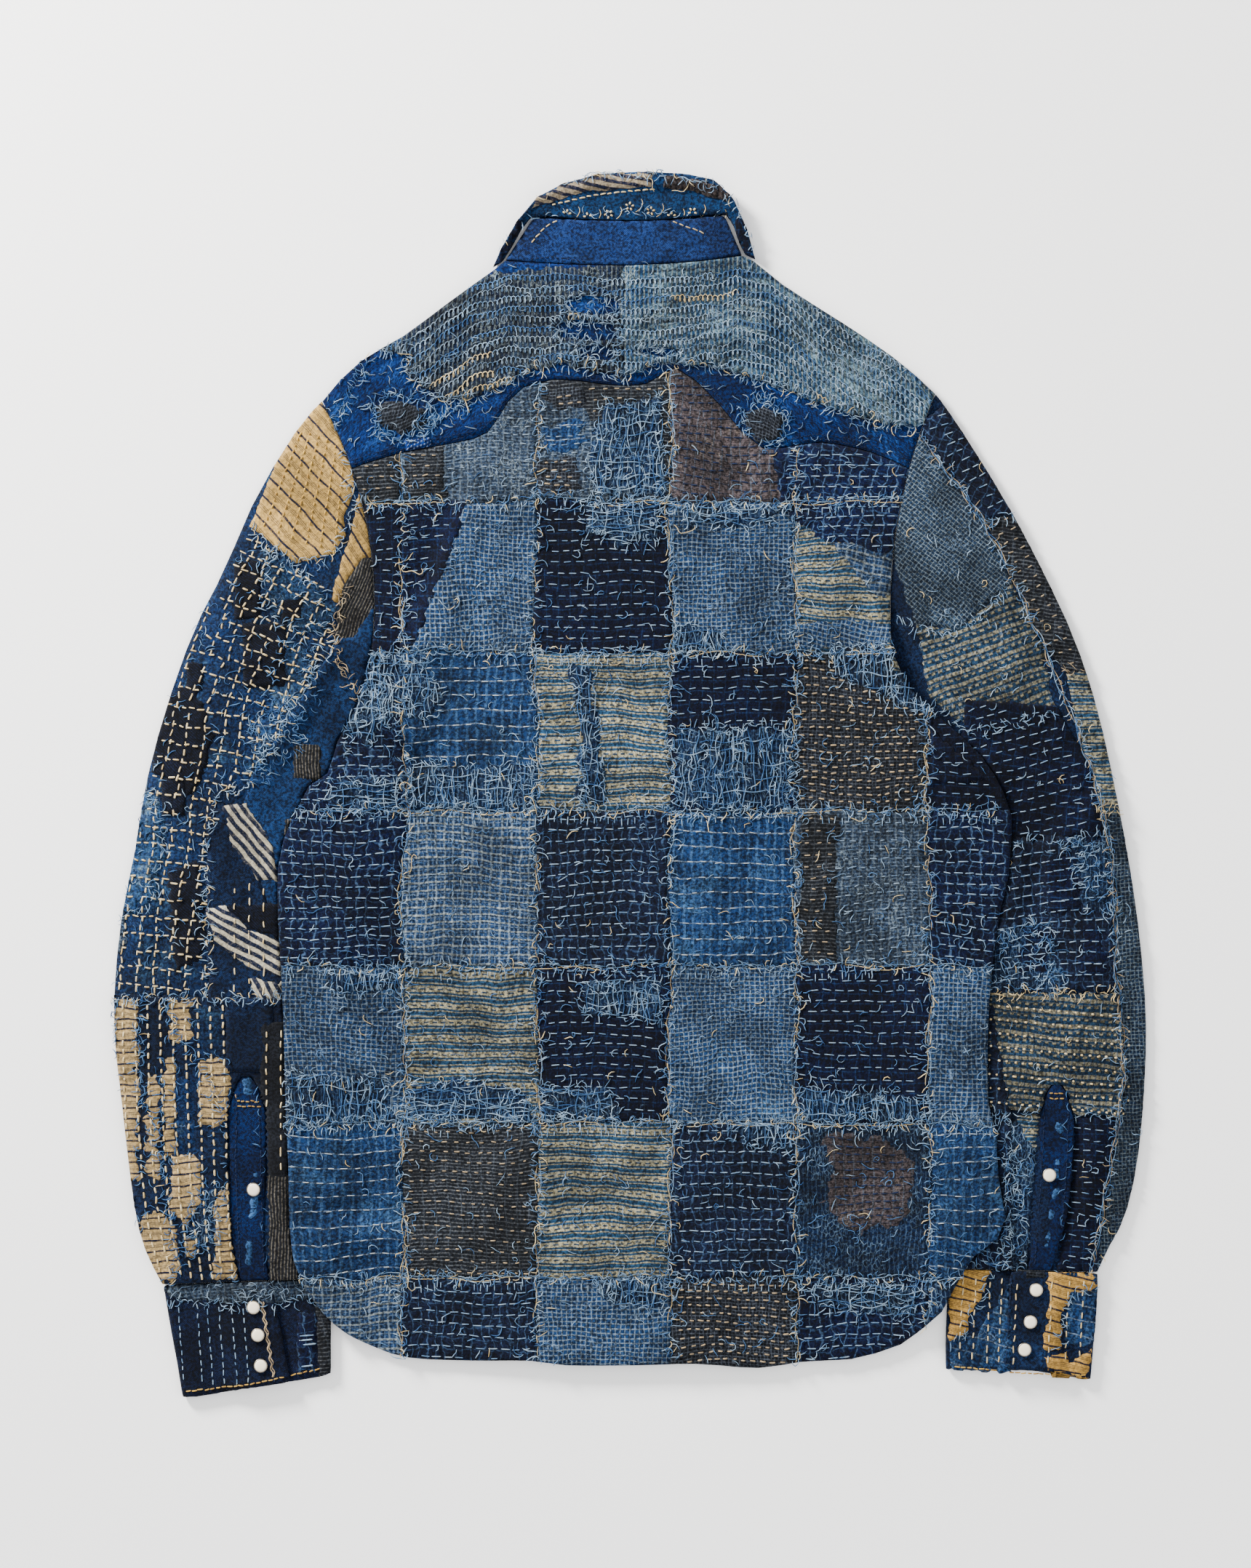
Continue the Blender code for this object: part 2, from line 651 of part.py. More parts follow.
def make_back(finish):
    shares = {side: armhole_share(side, YOKE_EDGE[0 if side == "left" else -1][1]) for side in SLEEVES}
    left = armhole("left", shares["left"], 1.0, SEAM_STEP)
    right = armhole("right", 1.0, shares["right"], SEAM_STEP)
    edge = smooth_line(YOKE_EDGE, EDGE_STEP)
    top_edge = [(x, y - SEAM_STEP * 1.3) for x, y in reversed(edge[1:-1])]
    left[0] = (left[0][0], left[0][1] - SEAM_STEP * 2.0)
    right[-1] = (right[-1][0], right[-1][1] - SEAM_STEP * 2.0)
    outline = body_outline(left, right, top_edge)
    lines = grid_lines(-250, 266, -400, 285, FINE_STEP) + ramp_lines(FINE_STEP * 1.2) + fold_lines(FINE_STEP)
    plain = ramp_lines(PLAIN_STEP) + fold_lines(PLAIN_STEP)
    return panel("back_panel", outline, back_under, back_over, finish, plain, lines,
                 PLAIN_STEP, FINE_STEP * 1.15)


def make_yoke(finish):
    edge = smooth_line(YOKE_EDGE, EDGE_STEP)
    lower = [(x, y + SEAM_STEP * 1.3) for x, y in edge[1:-1]]
    right = armhole("right", armhole_share("right", YOKE_EDGE[-1][1]), 0.0, SEAM_STEP)
    left = armhole("left", 0.0, armhole_share("left", YOKE_EDGE[0][1]), SEAM_STEP)
    right_shoulder = smooth_line(list(reversed(SHOULDERS["right"])), EDGE_STEP * 1.5)
    left_shoulder = smooth_line(SHOULDERS["left"], EDGE_STEP * 1.5)
    neck = list(reversed(neck_edge(0.0, -87.0, 78.0)))
    outline = lower + right + right_shoulder[1:] + neck + left_shoulder[:-1] + left
    lines = fold_lines(PLAIN_STEP)
    lines.append([(x, NECK_RISE_FULL) for x in range(-100, 101, 25)])
    lines.append([(x, NECK_RISE_FROM) for x in range(-120, 121, 30)])
    return panel("yoke", outline, back_under, yoke_over, finish, lines, lines, PLAIN_STEP, PLAIN_STEP * 0.8)


def front_outline(side):
    towards = 1.0 if side == "left" else -1.0
    shoulder = smooth_line(SHOULDERS[side], EDGE_STEP * 2.0)
    arm = armhole(side, 0.0, 1.0, SEAM_STEP)
    flank = smooth_line(SIDES[side], EDGE_STEP)
    hem = smooth_line(HEM, EDGE_STEP)
    edge_x = BAND_LEFT - SEAM_STEP * 2.0 if side == "left" else LAP_EDGE
    if side == "right":
        hem = list(reversed(hem))
    turns = (edge_x,) if side == "left" else (BAND_RIGHT + LAP_RAMP, BAND_RIGHT + LAP_FOOT, edge_x)
    hem = [p for p in hem if (turns[0] - p[0]) * towards > 6.0]
    hem += [(x, y_at(HEM, x)) for x in turns]
    places = [(x, neck_front(x) - SEAM_STEP * 2.0) for x in turns]
    seam = neck_edge(STAND_FRONT_DROP["seam"], -87.0, edge_x) if side == "left" else (
        neck_edge(STAND_FRONT_DROP["seam"], edge_x, 78.0))
    neck = sorted(places + seam, key=lambda point: -point[0] * towards)
    return shoulder[:-1] + arm + flank[1:-1] + hem + [(edge_x, y) for y in (-240, -80, 80, 240)] + neck


def make_front(side, finish):
    # The left front meets the band's seam, and the right one climbs over the band
    lines = ramp_lines(PLAIN_STEP)
    laps = side == "right"
    if laps:
        for x in (BAND_RIGHT + LAP_FOOT, BAND_RIGHT + LAP_RAMP):
            lines.append([(x, y) for y in range(-390, 341, 73)])

    def under(x, y):
        return body_lift(x, y) + (lap_rise(x) if laps else 0.0)

    def over(x, y):
        return under(x, y) + FRONT_WALL
    return panel(f"front_{side}", front_outline(side), under, over, finish, lines, lines,
                 FRONT_STEP, FRONT_STEP)


def front_snap_places():
    return [(CENTRE_X, FRONT_SNAP_TOP_Y - k * FRONT_SNAP_PITCH) for k in range(FRONT_SNAPS)]


def make_band(finish):
    # A straight strip with a hole round each snap, so that the caps lie level with it
    rows = 6
    xs = (BAND_LEFT, BAND_RIGHT)
    hem = [(x, y_at(HEM, x)) for x in (BAND_LEFT, CENTRE_X, BAND_RIGHT)]
    neck = [(x, neck_front(x) - SEAM_STEP * 2.0) for x in (BAND_RIGHT, CENTRE_X, BAND_LEFT)]
    low, high = hem[-1][1], neck[0][1]
    right = [(xs[1], blend(low, high, k / rows)) for k in range(1, rows)]
    left = [(xs[0], blend(neck[-1][1], hem[0][1], k / rows)) for k in range(1, rows)]
    outline = hem + right + neck + left
    band = panel("front_band", outline, lambda x, y: 0.0, lambda x, y: BAND_WALL, finish)
    for x, y in front_snap_places():
        cut_round(band, x, y, SNAP_RADIUS + SNAP_HOLE_GAP)
    return band


def cut_round(target, x, y, radius):
    shape = bmesh.new()
    bmesh.ops.create_cone(shape, cap_ends=True, segments=SNAP_SIDES, radius1=radius * MM, radius2=radius * MM,
                          depth=4.0 * BAND_WALL * MM)
    mesh = bpy.data.meshes.new("hole")
    shape.to_mesh(mesh)
    shape.free()
    cutter = bpy.data.objects.new("hole", mesh)
    bpy.context.scene.collection.objects.link(cutter)
    cutter.location = (x * MM, y * MM, BAND_WALL * MM / 2)
    cutter.hide_render = True
    cutter.display_type = "WIRE"
    cut = target.modifiers.new("hole", "BOOLEAN")
    cut.operation = "DIFFERENCE"
    cut.solver = "EXACT"
    cut.object = cutter


def sleeve_top(side, place, across):
    # Outer height of a sleeve: flat where the body covers it, rounded and folded where it shows
    row = sleeve_row(side, place)
    reach = row["cover"] - COVER_MARGIN
    shown = clamp(across / reach)
    height = SLEEVE_TOP + row["rise"] * math.sin(math.pi * shown) ** 0.8
    for values in SLEEVE_FOLDS[side]:
        fold = dict(zip(SLEEVE_FOLD_COLUMNS, values))
        along = (place - fold["row_a"]) / (fold["row_b"] - fold["row_a"])
        centre = blend(fold["across_a"], fold["across_b"], clamp(along))
        fade = ease(1.0 - max(0.0, abs(along - 0.5) - 0.5) * 3.0)
        side_fade = ease((reach - across) / 0.12) * ease(across / 0.08)
        height += fold["height"] * math.exp(-(((across - centre) / fold["width"]) ** 2)) * fade * side_fade
    return height


def sleeve_places(side):
    last = len(SLEEVES[side]) - 1
    return [last * k / (SLEEVE_SECTIONS - 1) for k in range(SLEEVE_SECTIONS)]


def make_sleeve(side, finish):
    rings = []
    for place in sleeve_places(side):
        row = sleeve_row(side, place)
        step = SEAM_STEP * (1.0 - clamp(place)) * (-1.0 if side == "left" else 1.0)
        width = math.dist((row["outer_x"], row["outer_y"]), (row["inner_x"], row["inner_y"]))

        def path(across, row=row, step=step, width=width):
            if across is None:
                return width
            x, y = section_point(row, across, side)
            return (x + step, y)

        def top(across, place=place):
            return sleeve_top(side, place, across)
        rings.append(flat_ring(path, path, top, SLEEVE_WALL, SLEEVE_LINES[side], SLEEVE_UNDER_LINES))
    return tube(f"sleeve_{side}", rings, finish)


def make_placket(side, finish):
    # A strip on the sleeve's own lines, moved out, with a pointed top
    spec = PLACKETS[side]
    lines = [a for a in SLEEVE_LINES[side] if spec["first_line"] <= a <= spec["last_line"]]
    middle = (lines[0] + lines[-1]) / 2
    places = [place for place in sleeve_places(side)
              if section_point(sleeve_row(side, place), middle, side)[1] < spec["top_y"]]
    points, faces, width = [], [], len(lines)
    for k, place in enumerate(places):
        row = sleeve_row(side, place)
        for across in lines:
            if k == 0:
                across = blend(middle, across, 0.45)
            x, y = section_point(row, across, side)
            if k == 0 and abs(across - middle) < 0.02:
                y += 5.0
            height = sleeve_top(side, place, across) + PLACKET_GAP
            points += [(x, y, height), (x, y, height + PLACKET_WALL)]
    for k in range(len(places) - 1):
        for j in range(width - 1):
            a, b = (k * width + j) * 2, (k * width + j + 1) * 2
            c, d = ((k + 1) * width + j + 1) * 2, ((k + 1) * width + j) * 2
            faces += [[a, b, c, d], [a + 1, d + 1, c + 1, b + 1]]
    rim = list(range(width))
    rim += [k * width + width - 1 for k in range(1, len(places))]
    rim += [(len(places) - 1) * width + j for j in reversed(range(width - 1))]
    rim += [k * width for k in reversed(range(1, len(places) - 1))]
    for a, b in zip(rim, rim[1:] + rim[:1]):
        faces.append([a * 2, b * 2, b * 2 + 1, a * 2 + 1])
    return add_object(f"sleeve_placket_{side}", points, faces, finish)


def cuff_section(width, over_edge):
    # The wrapped strip: over end, outer fold, under side, inner fold, under end, and back inside
    under_end = over_edge - CUFF_LAP
    level = under_end - LAP_REST
    top, low, mid = SLEEVE_TOP, CUFF_WALL, SLEEVE_TOP / 2
    inner_top = top - CUFF_WALL
    over_low = top + LAYER_GAP
    over_top = over_low + CUFF_WALL
    high, foot = top * FOLD_SHOULDER, top * (1.0 - FOLD_SHOULDER)
    bend, corner = CUFF_BEND, CUFF_CORNER
    bend_in, side_in = CUFF_BEND + CUFF_CORNER, CUFF_WALL + 0.1
    outside = [
        (over_edge, over_top), (level, over_top), (level - LAP_SLOPE, top), (bend, top), (corner, high),
        (0.0, mid), (corner, foot), (bend, 0.0), (width / 2, 0.0), (width - bend, 0.0),
        (width - corner, foot), (width, mid), (width - corner, high), (width - bend, top),
        (over_edge + 8.0, top), (under_end, top),
    ]
    inside_line = [
        (under_end, inner_top), (width - bend_in, inner_top), (width - side_in, mid), (width - bend_in, low),
        (width / 2, low), (bend_in, low), (side_in, mid), (bend_in, inner_top),
        (level - LAP_SLOPE + 1.5, inner_top), (level + 1.5, over_low), (over_edge, over_low),
    ]
    return outside + inside_line


def make_cuff(side, finish):
    # The same section carried along the cuff's height, and closed at both edges
    points, faces = [], []
    rows = [dict(zip(CUFF_COLUMNS, values)) for values in CUFFS[side]]
    count = None
    for row in rows:
        width = math.dist((row["outer_x"], row["outer_y"]), (row["inner_x"], row["inner_y"]))
        section = cuff_section(width, CUFF_OVER_EDGE[side])
        count = len(section)
        for along, z in section:
            across = along / width
            x = blend(row["outer_x"], row["inner_x"], across)
            y = blend(row["outer_y"], row["inner_y"], across) + row["bow"] * 4.0 * across * (1.0 - across)
            points.append((x, y, z))
    for r in range(len(rows) - 1):
        for k in range(count):
            after = (k + 1) % count
            faces.append([r * count + k, r * count + after, (r + 1) * count + after, (r + 1) * count + k])
    faces.append(list(range(count)))
    faces.append([(len(rows) - 1) * count + k for k in reversed(range(count))])
    return add_object(f"cuff_{side}", points, faces, finish)


def make_stand(finish):
    rings = []
    for share in (0.0, 0.35, 0.7, 1.0):
        rows = [(blend(a, c, share), blend(b, d, share)) for a, b, c, d in STAND_ROWS]
        drop = blend(STAND_FRONT_DROP["seam"], STAND_FRONT_DROP["top"], share)
        height = blend(STAND_HEIGHTS["seam"], STAND_HEIGHTS["top"], share)

        def top(across, height=height):
            return blend(STAND_END_HEIGHT, height, ease(min(across, 1.0 - across) / STAND_RISE))
        over_path, under_path = plan_path(rows), plan_path(rows, drop)
        rings.append(flat_ring(over_path, under_path, top, COLLAR_WALL, STAND_LINES, STAND_LINES))
    return tube("collar_stand", rings, finish)


def leaf_height(across):
    # Plain height of the leaf, low at its two folds
    return blend(LEAF_END_HEIGHT, STAND_HEIGHTS["top"], ease(min(across, 1.0 - across) / LEAF_RISE))


def make_leaf(finish):
    rings = []
    front_top = STAND_FRONT_DROP["top"]
    for across_leaf, extra in LEAF_RINGS:
        rows = [(blend(a, c, across_leaf), blend(b, d, across_leaf)) for a, b, c, d in LEAF_ROWS]
        short = across_leaf * (1.0 - LEAF_FRONT_SHORT)
        under = [(blend(a, c, short), blend(b, d, short)) for a, b, c, d in LEAF_ROWS]

        def top(across, extra=extra):
            return leaf_height(across) + extra * blend(0.25, 1.0, ease(min(across, 1.0 - across) / LEAF_RISE))

        def under_path(across, under=under, share=1.0 - across_leaf):
            x, y = plan_path(under)(across)
            hump = clamp((across - 0.25) / 0.5)
            return (x, y - front_top * share * 4.0 * hump * (1.0 - hump))
        rings.append(leaf_ring(plan_path(rows), under_path, top))
    return tube("collar_leaf", rings, finish)


def leaf_ring(over_path, under_path, top):
    # As flat_ring, but the rolled edge is thicker outside only, so the inside keeps its height
    outer, _ = flat_ring(over_path, under_path, top, COLLAR_WALL, LEAF_LINES, LEAF_LINES)
    _, inner = flat_ring(over_path, under_path, leaf_height, COLLAR_WALL, LEAF_LINES, LEAF_LINES)
    return outer, inner


def add_snap(name, x, y, z, finish, upwards=True):
    # A low domed cap on a straight rim
    rows = [(SNAP_RADIUS, 0.0), (SNAP_RADIUS, SNAP_HEIGHT * 0.45), (SNAP_RADIUS * 0.72, SNAP_HEIGHT * 0.9)]
    points, faces = [], []
    for radius, height in rows:
        for k in range(SNAP_SIDES):
            angle = 2.0 * math.pi * k / SNAP_SIDES
            rise = height if upwards else BAND_WALL - height * BAND_WALL / SNAP_HEIGHT
            points.append((x + radius * math.cos(angle), y + radius * math.sin(angle), z + rise))
    for r in range(len(rows) - 1):
        for k in range(SNAP_SIDES):
            after = (k + 1) % SNAP_SIDES
            a, b = r * SNAP_SIDES + k, r * SNAP_SIDES + after
            faces.append([a, b, b + SNAP_SIDES, a + SNAP_SIDES])
    faces.append(list(reversed(range(SNAP_SIDES))))
    faces.append([2 * SNAP_SIDES + k for k in range(SNAP_SIDES)])
    return add_object(name, points, faces, finish)


def make_snaps():
    lap_top = SLEEVE_TOP + LAYER_GAP + CUFF_WALL
    for side, places in CUFF_SNAPS.items():
        for k, (x, y) in enumerate(places):
            name = f"cuff_snap_{side}_{k + 1}"
            add_snap(name, x, y, lap_top + SNAP_GAP, material(name, PEARL, PEARL_ROUGHNESS))
    for side, spec in PLACKETS.items():
        name = f"placket_snap_{side}"
        x, y = spec["snap"]
        add_snap(name, x, y, placket_top(side, x, y) + SNAP_GAP, material(name, PEARL, PEARL_ROUGHNESS))
    for k, (x, y) in enumerate(front_snap_places()):
        name = f"front_snap_{k + 1}"
        add_snap(name, x, y, 0.0, material(name, PEARL, PEARL_ROUGHNESS), upwards=False)


def placket_top(side, x, y):
    # Highest place of the strip under a snap's cap
    best = 0.0
    for place in (k * 0.1 for k in range(10 * (len(SLEEVES[side]) - 1))):
        row = sleeve_row(side, place)
        for across in (k * 0.02 for k in range(51)):
            if math.dist(section_point(row, across, side), (x, y)) < SNAP_RADIUS + 3.0:
                best = max(best, sleeve_top(side, place, across))
    return best + PLACKET_GAP + PLACKET_WALL


def main():
    clear_scene()
    make_front("left", material("front_left", (0.055, 0.09, 0.19), 0.9))
    make_front("right", material("front_right", (0.06, 0.1, 0.2), 0.9))
    make_band(material("front_band", (0.02, 0.05, 0.14), 0.85))
    make_back(material("back_panel", (0.07, 0.12, 0.22), 0.92))
    make_yoke(material("yoke", (0.05, 0.12, 0.3), 0.92))
    make_sleeve("left", material("sleeve_left", (0.06, 0.09, 0.16), 0.92))
    make_sleeve("right", material("sleeve_right", (0.09, 0.13, 0.2), 0.92))
    make_placket("left", material("sleeve_placket_left", (0.012, 0.025, 0.08), 0.8))
    make_placket("right", material("sleeve_placket_right", (0.012, 0.025, 0.08), 0.8))
    make_cuff("left", material("cuff_left", (0.012, 0.018, 0.04), 0.9))
    make_cuff("right", material("cuff_right", (0.03, 0.05, 0.1), 0.9))
    make_stand(material("collar_stand", (0.025, 0.07, 0.21), 0.82))
    make_leaf(material("collar_leaf", (0.05, 0.09, 0.16), 0.9))
    make_snaps()


main()
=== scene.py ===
import math
import random

import bmesh
import bpy
import numpy as np
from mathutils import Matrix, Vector
from mathutils.bvhtree import BVHTree
from mathutils.geometry import delaunay_2d_cdt


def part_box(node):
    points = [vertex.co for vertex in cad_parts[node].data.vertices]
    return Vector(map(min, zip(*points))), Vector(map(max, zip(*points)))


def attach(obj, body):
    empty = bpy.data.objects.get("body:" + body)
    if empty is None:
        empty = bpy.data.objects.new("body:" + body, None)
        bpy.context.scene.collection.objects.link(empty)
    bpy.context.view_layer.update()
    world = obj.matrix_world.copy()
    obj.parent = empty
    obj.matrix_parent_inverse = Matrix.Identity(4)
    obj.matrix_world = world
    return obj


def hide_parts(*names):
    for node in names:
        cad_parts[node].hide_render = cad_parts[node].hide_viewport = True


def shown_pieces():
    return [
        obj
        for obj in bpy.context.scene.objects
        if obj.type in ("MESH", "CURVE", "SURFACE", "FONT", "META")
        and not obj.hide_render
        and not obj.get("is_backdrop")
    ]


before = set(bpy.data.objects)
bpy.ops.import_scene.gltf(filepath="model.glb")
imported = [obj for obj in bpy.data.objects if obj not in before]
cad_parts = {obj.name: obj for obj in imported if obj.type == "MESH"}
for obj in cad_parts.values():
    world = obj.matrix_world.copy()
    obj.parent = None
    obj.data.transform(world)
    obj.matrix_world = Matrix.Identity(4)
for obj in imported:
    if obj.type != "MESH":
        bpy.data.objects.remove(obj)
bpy.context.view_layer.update()        # the imported parts are brought up to date
mm = 0.001               # tables and patterns are in millimetres, meshes in metres

# Laid out, the jacket's X runs across the back and Y from the hem up to the collar


# Small helpers
def tone(code):
    # Linear colour from the usual six hexadecimal digits
    parts = [int(code[k:k + 2], 16) / 255 for k in (1, 3, 5)]
    return tuple(c / 12.92 if c < 0.04045 else ((c + 0.055) / 1.055) ** 2.4 for c in parts) + (1.0,)


def softNoise(x, y, seed, size):
    # Smooth values of about -1 to 1 that change over one size, from a few crossed waves
    draw = np.random.default_rng(seed)
    total = 0.0
    for _ in range(7):
        turn, reach = draw.uniform(0, 2 * math.pi), size * draw.uniform(0.6, 1.8)
        wave = (x * math.cos(turn) + y * math.sin(turn)) * 2 * math.pi / reach
        total = total + np.sin(wave + draw.uniform(0, 2 * math.pi))
    return total / 3.0


def easeIn(value):
    value = np.clip(value, 0.0, 1.0)
    return value * value * (3.0 - 2.0 * value)


def sideways(loop):
    # Unit vectors square to a loop, outwards where it runs anticlockwise
    tangent = np.roll(loop, -1, 0) - np.roll(loop, 1, 0)
    normal = np.stack([tangent[:, 1], -tangent[:, 0]], 1)
    return normal / np.maximum(np.linalg.norm(normal, axis=1), 1e-6)[:, None]


def spread(loop, by):
    # A loop moved outwards, whichever way it runs
    x, y = loop[:, 0], loop[:, 1]
    area = (x * np.roll(y, -1) - y * np.roll(x, -1)).sum()
    return loop + sideways(loop) * by * (1 if area > 0 else -1)


def hullLoop(points):
    # The outline round a set of plan points
    ordered, sides = sorted(set(points)), []
    for run in (ordered, ordered[::-1]):
        side = []
        for p in run:
            while len(side) > 1 and ((side[-1][0] - side[-2][0]) * (p[1] - side[-2][1])
                                     <= (side[-1][1] - side[-2][1]) * (p[0] - side[-2][0])):
                side.pop()
            side.append(p)
        sides += side[:-1]
    return sides


def resample(points, step, closed=True):
    # The same line with points about one step apart, its corners kept
    ends = points[1:] + points[:1] if closed else points[1:]
    line = []
    for a, b in zip(points, ends):
        count = max(1, round(math.dist(a[:2], b[:2]) / step))
        line += [tuple(p + (q - p) * k / count for p, q in zip(a, b)) for k in range(count)]
    return line if closed else line + [tuple(points[-1])]


def smoothRoute(points, step=6.0):
    # A smooth curve through a few chosen points, as an array
    rows = np.array(points, float)
    rows = np.vstack([2 * rows[0] - rows[1], rows, 2 * rows[-1] - rows[-2]])
    line = []
    for i in range(1, len(rows) - 2):
        p, q, r, s = rows[i - 1:i + 3]
        for t in np.linspace(0, 1, max(2, round(np.linalg.norm(r - q) / step)), endpoint=False):
            line.append(0.5 * (2 * q + (r - p) * t + (2 * p - 5 * q + 4 * r - s) * t ** 2
                               + (3 * q - p - 3 * r + s) * t ** 3))
    return np.array(line + [rows[-2]])


def walkedTo(route):
    # How far along a route each of its points lies
    return np.concatenate([[0], np.cumsum(np.linalg.norm(np.diff(route, axis=0), axis=1))])


def runsOf(places):
    # Whole numbers, split wherever some are left out
    return np.split(places, np.flatnonzero(np.diff(places) > 1) + 1)


def alongRoute(route, x, y):
    # Signed distance from a route, and how far along it the nearest place is
    best = np.full(np.shape(x), 1e9)
    offset, along, walked = np.zeros_like(best), np.zeros_like(best), 0.0
    for a, b in zip(route, route[1:]):
        length = math.dist(a, b)
        dx, dy = (b[0] - a[0]) / length, (b[1] - a[1]) / length
        t = np.clip((x - a[0]) * dx + (y - a[1]) * dy, 0.0, length)
        away = np.hypot(x - a[0] - dx * t, y - a[1] - dy * t)
        side = np.sign(dx * (y - a[1]) - dy * (x - a[0]))
        nearer = away < best
        best = np.where(nearer, away, best)
        offset = np.where(nearer, away * np.where(side == 0, 1, side), offset)
        along = np.where(nearer, walked + t, along)
        walked += length
    return offset, along, walked


def insideLoop(loop, x, y):
    found = np.zeros(np.shape(x), bool)
    for (x0, y0), (x1, y1) in zip(loop, np.roll(loop, -1, axis=0)):
        if y0 != y1:
            found ^= ((y0 > y) != (y1 > y)) & (x < x0 + (y - y0) * (x1 - x0) / (y1 - y0))
    return found


def loopDistance(loop, x, y):
    best = np.full(np.shape(x), 1e9)
    for (x0, y0), (x1, y1) in zip(loop, np.roll(loop, -1, axis=0)):
        dx, dy = x1 - x0, y1 - y0
        t = np.clip(((x - x0) * dx + (y - y0) * dy) / max(dx * dx + dy * dy, 1e-9), 0, 1)
        best = np.minimum(best, np.hypot(x - x0 - dx * t, y - y0 - dy * t))
    return best


def loopEdges(first, count):
    return [(first + (k - 1) % count, first + k) for k in range(count)]


def evenGrid(low, high, step):
    # Places one step apart, every second row moved by half a step
    rows = np.arange(low[1] + step / 2, high[1], step * 0.87)
    columns = np.arange(low[0] + step / 2, high[0], step)
    gridX, gridY = np.meshgrid(columns, rows)
    gridX = gridX + np.where(np.arange(len(rows)) % 2, step / 2, 0.0)[:, None]
    return gridX.ravel(), gridY.ravel()


def trianglesOver(points, edges):
    # Plan triangles, the middle of each, and the given points that each corner stands for
    found, _, triangles, origins, _, _ = delaunay_2d_cdt(points, edges, [], 0, 1e-4)
    xy = np.array([(p[0], p[1]) for p in found])
    triangles = np.array([list(t) for t in triangles])
    return xy, triangles, xy[triangles].mean(1), origins


def facingUp(xy, triangles):
    a, b, c = (xy[triangles[:, k]] for k in range(3))
    turned = ((b[:, 0] - a[:, 0]) * (c[:, 1] - a[:, 1]) - (b[:, 1] - a[:, 1]) * (c[:, 0] - a[:, 0])) < 0
    triangles[turned] = triangles[turned][:, ::-1]
    return triangles


def treeOf(points, faces):
    return BVHTree.FromPolygons([tuple(p) for p in points], [tuple(f) for f in faces])


def heightsOn(tree, x, y, above=True):
    # Height of a surface over or under each place
    side = 1.0 if above else -1.0
    down = Vector((0, 0, -side))
    heights = np.empty(len(x))
    for i in range(len(x)):
        hit = tree.ray_cast(Vector((x[i] * mm, y[i] * mm, 0.1 * side)), down)[0]
        if hit is None:
            hit = tree.find_nearest(Vector((x[i] * mm, y[i] * mm, 0.02 * side)))[0]
        heights[i] = hit.z / mm
    return heights


# Shader building
def addNode(tree, kind, values=None, **settings):
    node = tree.nodes.new(kind)
    for key, value in settings.items():
        setattr(node, key, value)
    for key, value in (values or {}).items():
        if isinstance(value, bpy.types.NodeSocket):
            tree.links.new(value, node.inputs[key])
        else:
            node.inputs[key].default_value = value
    return node


def maths(tree, operation, *values):
    return addNode(tree, "ShaderNodeMath", dict(enumerate(values)), operation=operation).outputs[0]


def vectorMaths(tree, operation, values):
    return addNode(tree, "ShaderNodeVectorMath", values, operation=operation).outputs[0]


def mixColour(tree, factor, a, b):
    return addNode(tree, "ShaderNodeMix", {0: factor, 6: a, 7: b}, data_type="RGBA").outputs[2]


def ramp(tree, value, start, end, low=0.0, high=1.0):
    node = addNode(tree, "ShaderNodeMapRange", {0: value, 1: start, 2: end, 3: low, 4: high},
                   interpolation_type="SMOOTHSTEP")
    return node.outputs[0]


def noiseAt(tree, place, size, detail=2.0, rough=0.5):
    return addNode(tree, "ShaderNodeTexNoise",
                   {"Vector": place, "Scale": 1.0 / size, "Detail": detail, "Roughness": rough})


def lineMask(tree, along, pitch, width, offset=0.0):
    # 1 on lines of a pitch and width, 0 between them, with soft edges
    soft = 0.45
    moved = maths(tree, "ADD", along, offset + pitch * 1000)
    wave = maths(tree, "PINGPONG", moved, pitch / 2)
    return ramp(tree, wave, width / 2 + soft / 2, max(0.0, width / 2 - soft / 2))


def newMaterial(name, empty=False):
    made = bpy.data.materials.new(name)
    made.use_nodes = True
    if empty:
        made.node_tree.nodes.clear()
    return made, made.node_tree


def finishShader(tree, values):
    shader = addNode(tree, "ShaderNodeBsdfPrincipled", values)
    addNode(tree, "ShaderNodeOutputMaterial", {0: shader.outputs[0]})


# What each cloth looks like: base and pale worn colour, how worn, how much tangled thread and its
# colour, woven lines as (axis, pitch, width, offset, colour, strength), dots as (pitch and length
# along, pitch and width across, offset, colour), how far its threads stray, and how little it fades
def clothLook(base, pale, worn, fray, lines=(), dots=(), thread="#8fadd0", sway=0.0, even=0.0):
    return dict(base=base, pale=pale, worn=worn, fray=fray, lines=lines, dots=dots, thread=thread,
                sway=sway, even=even)


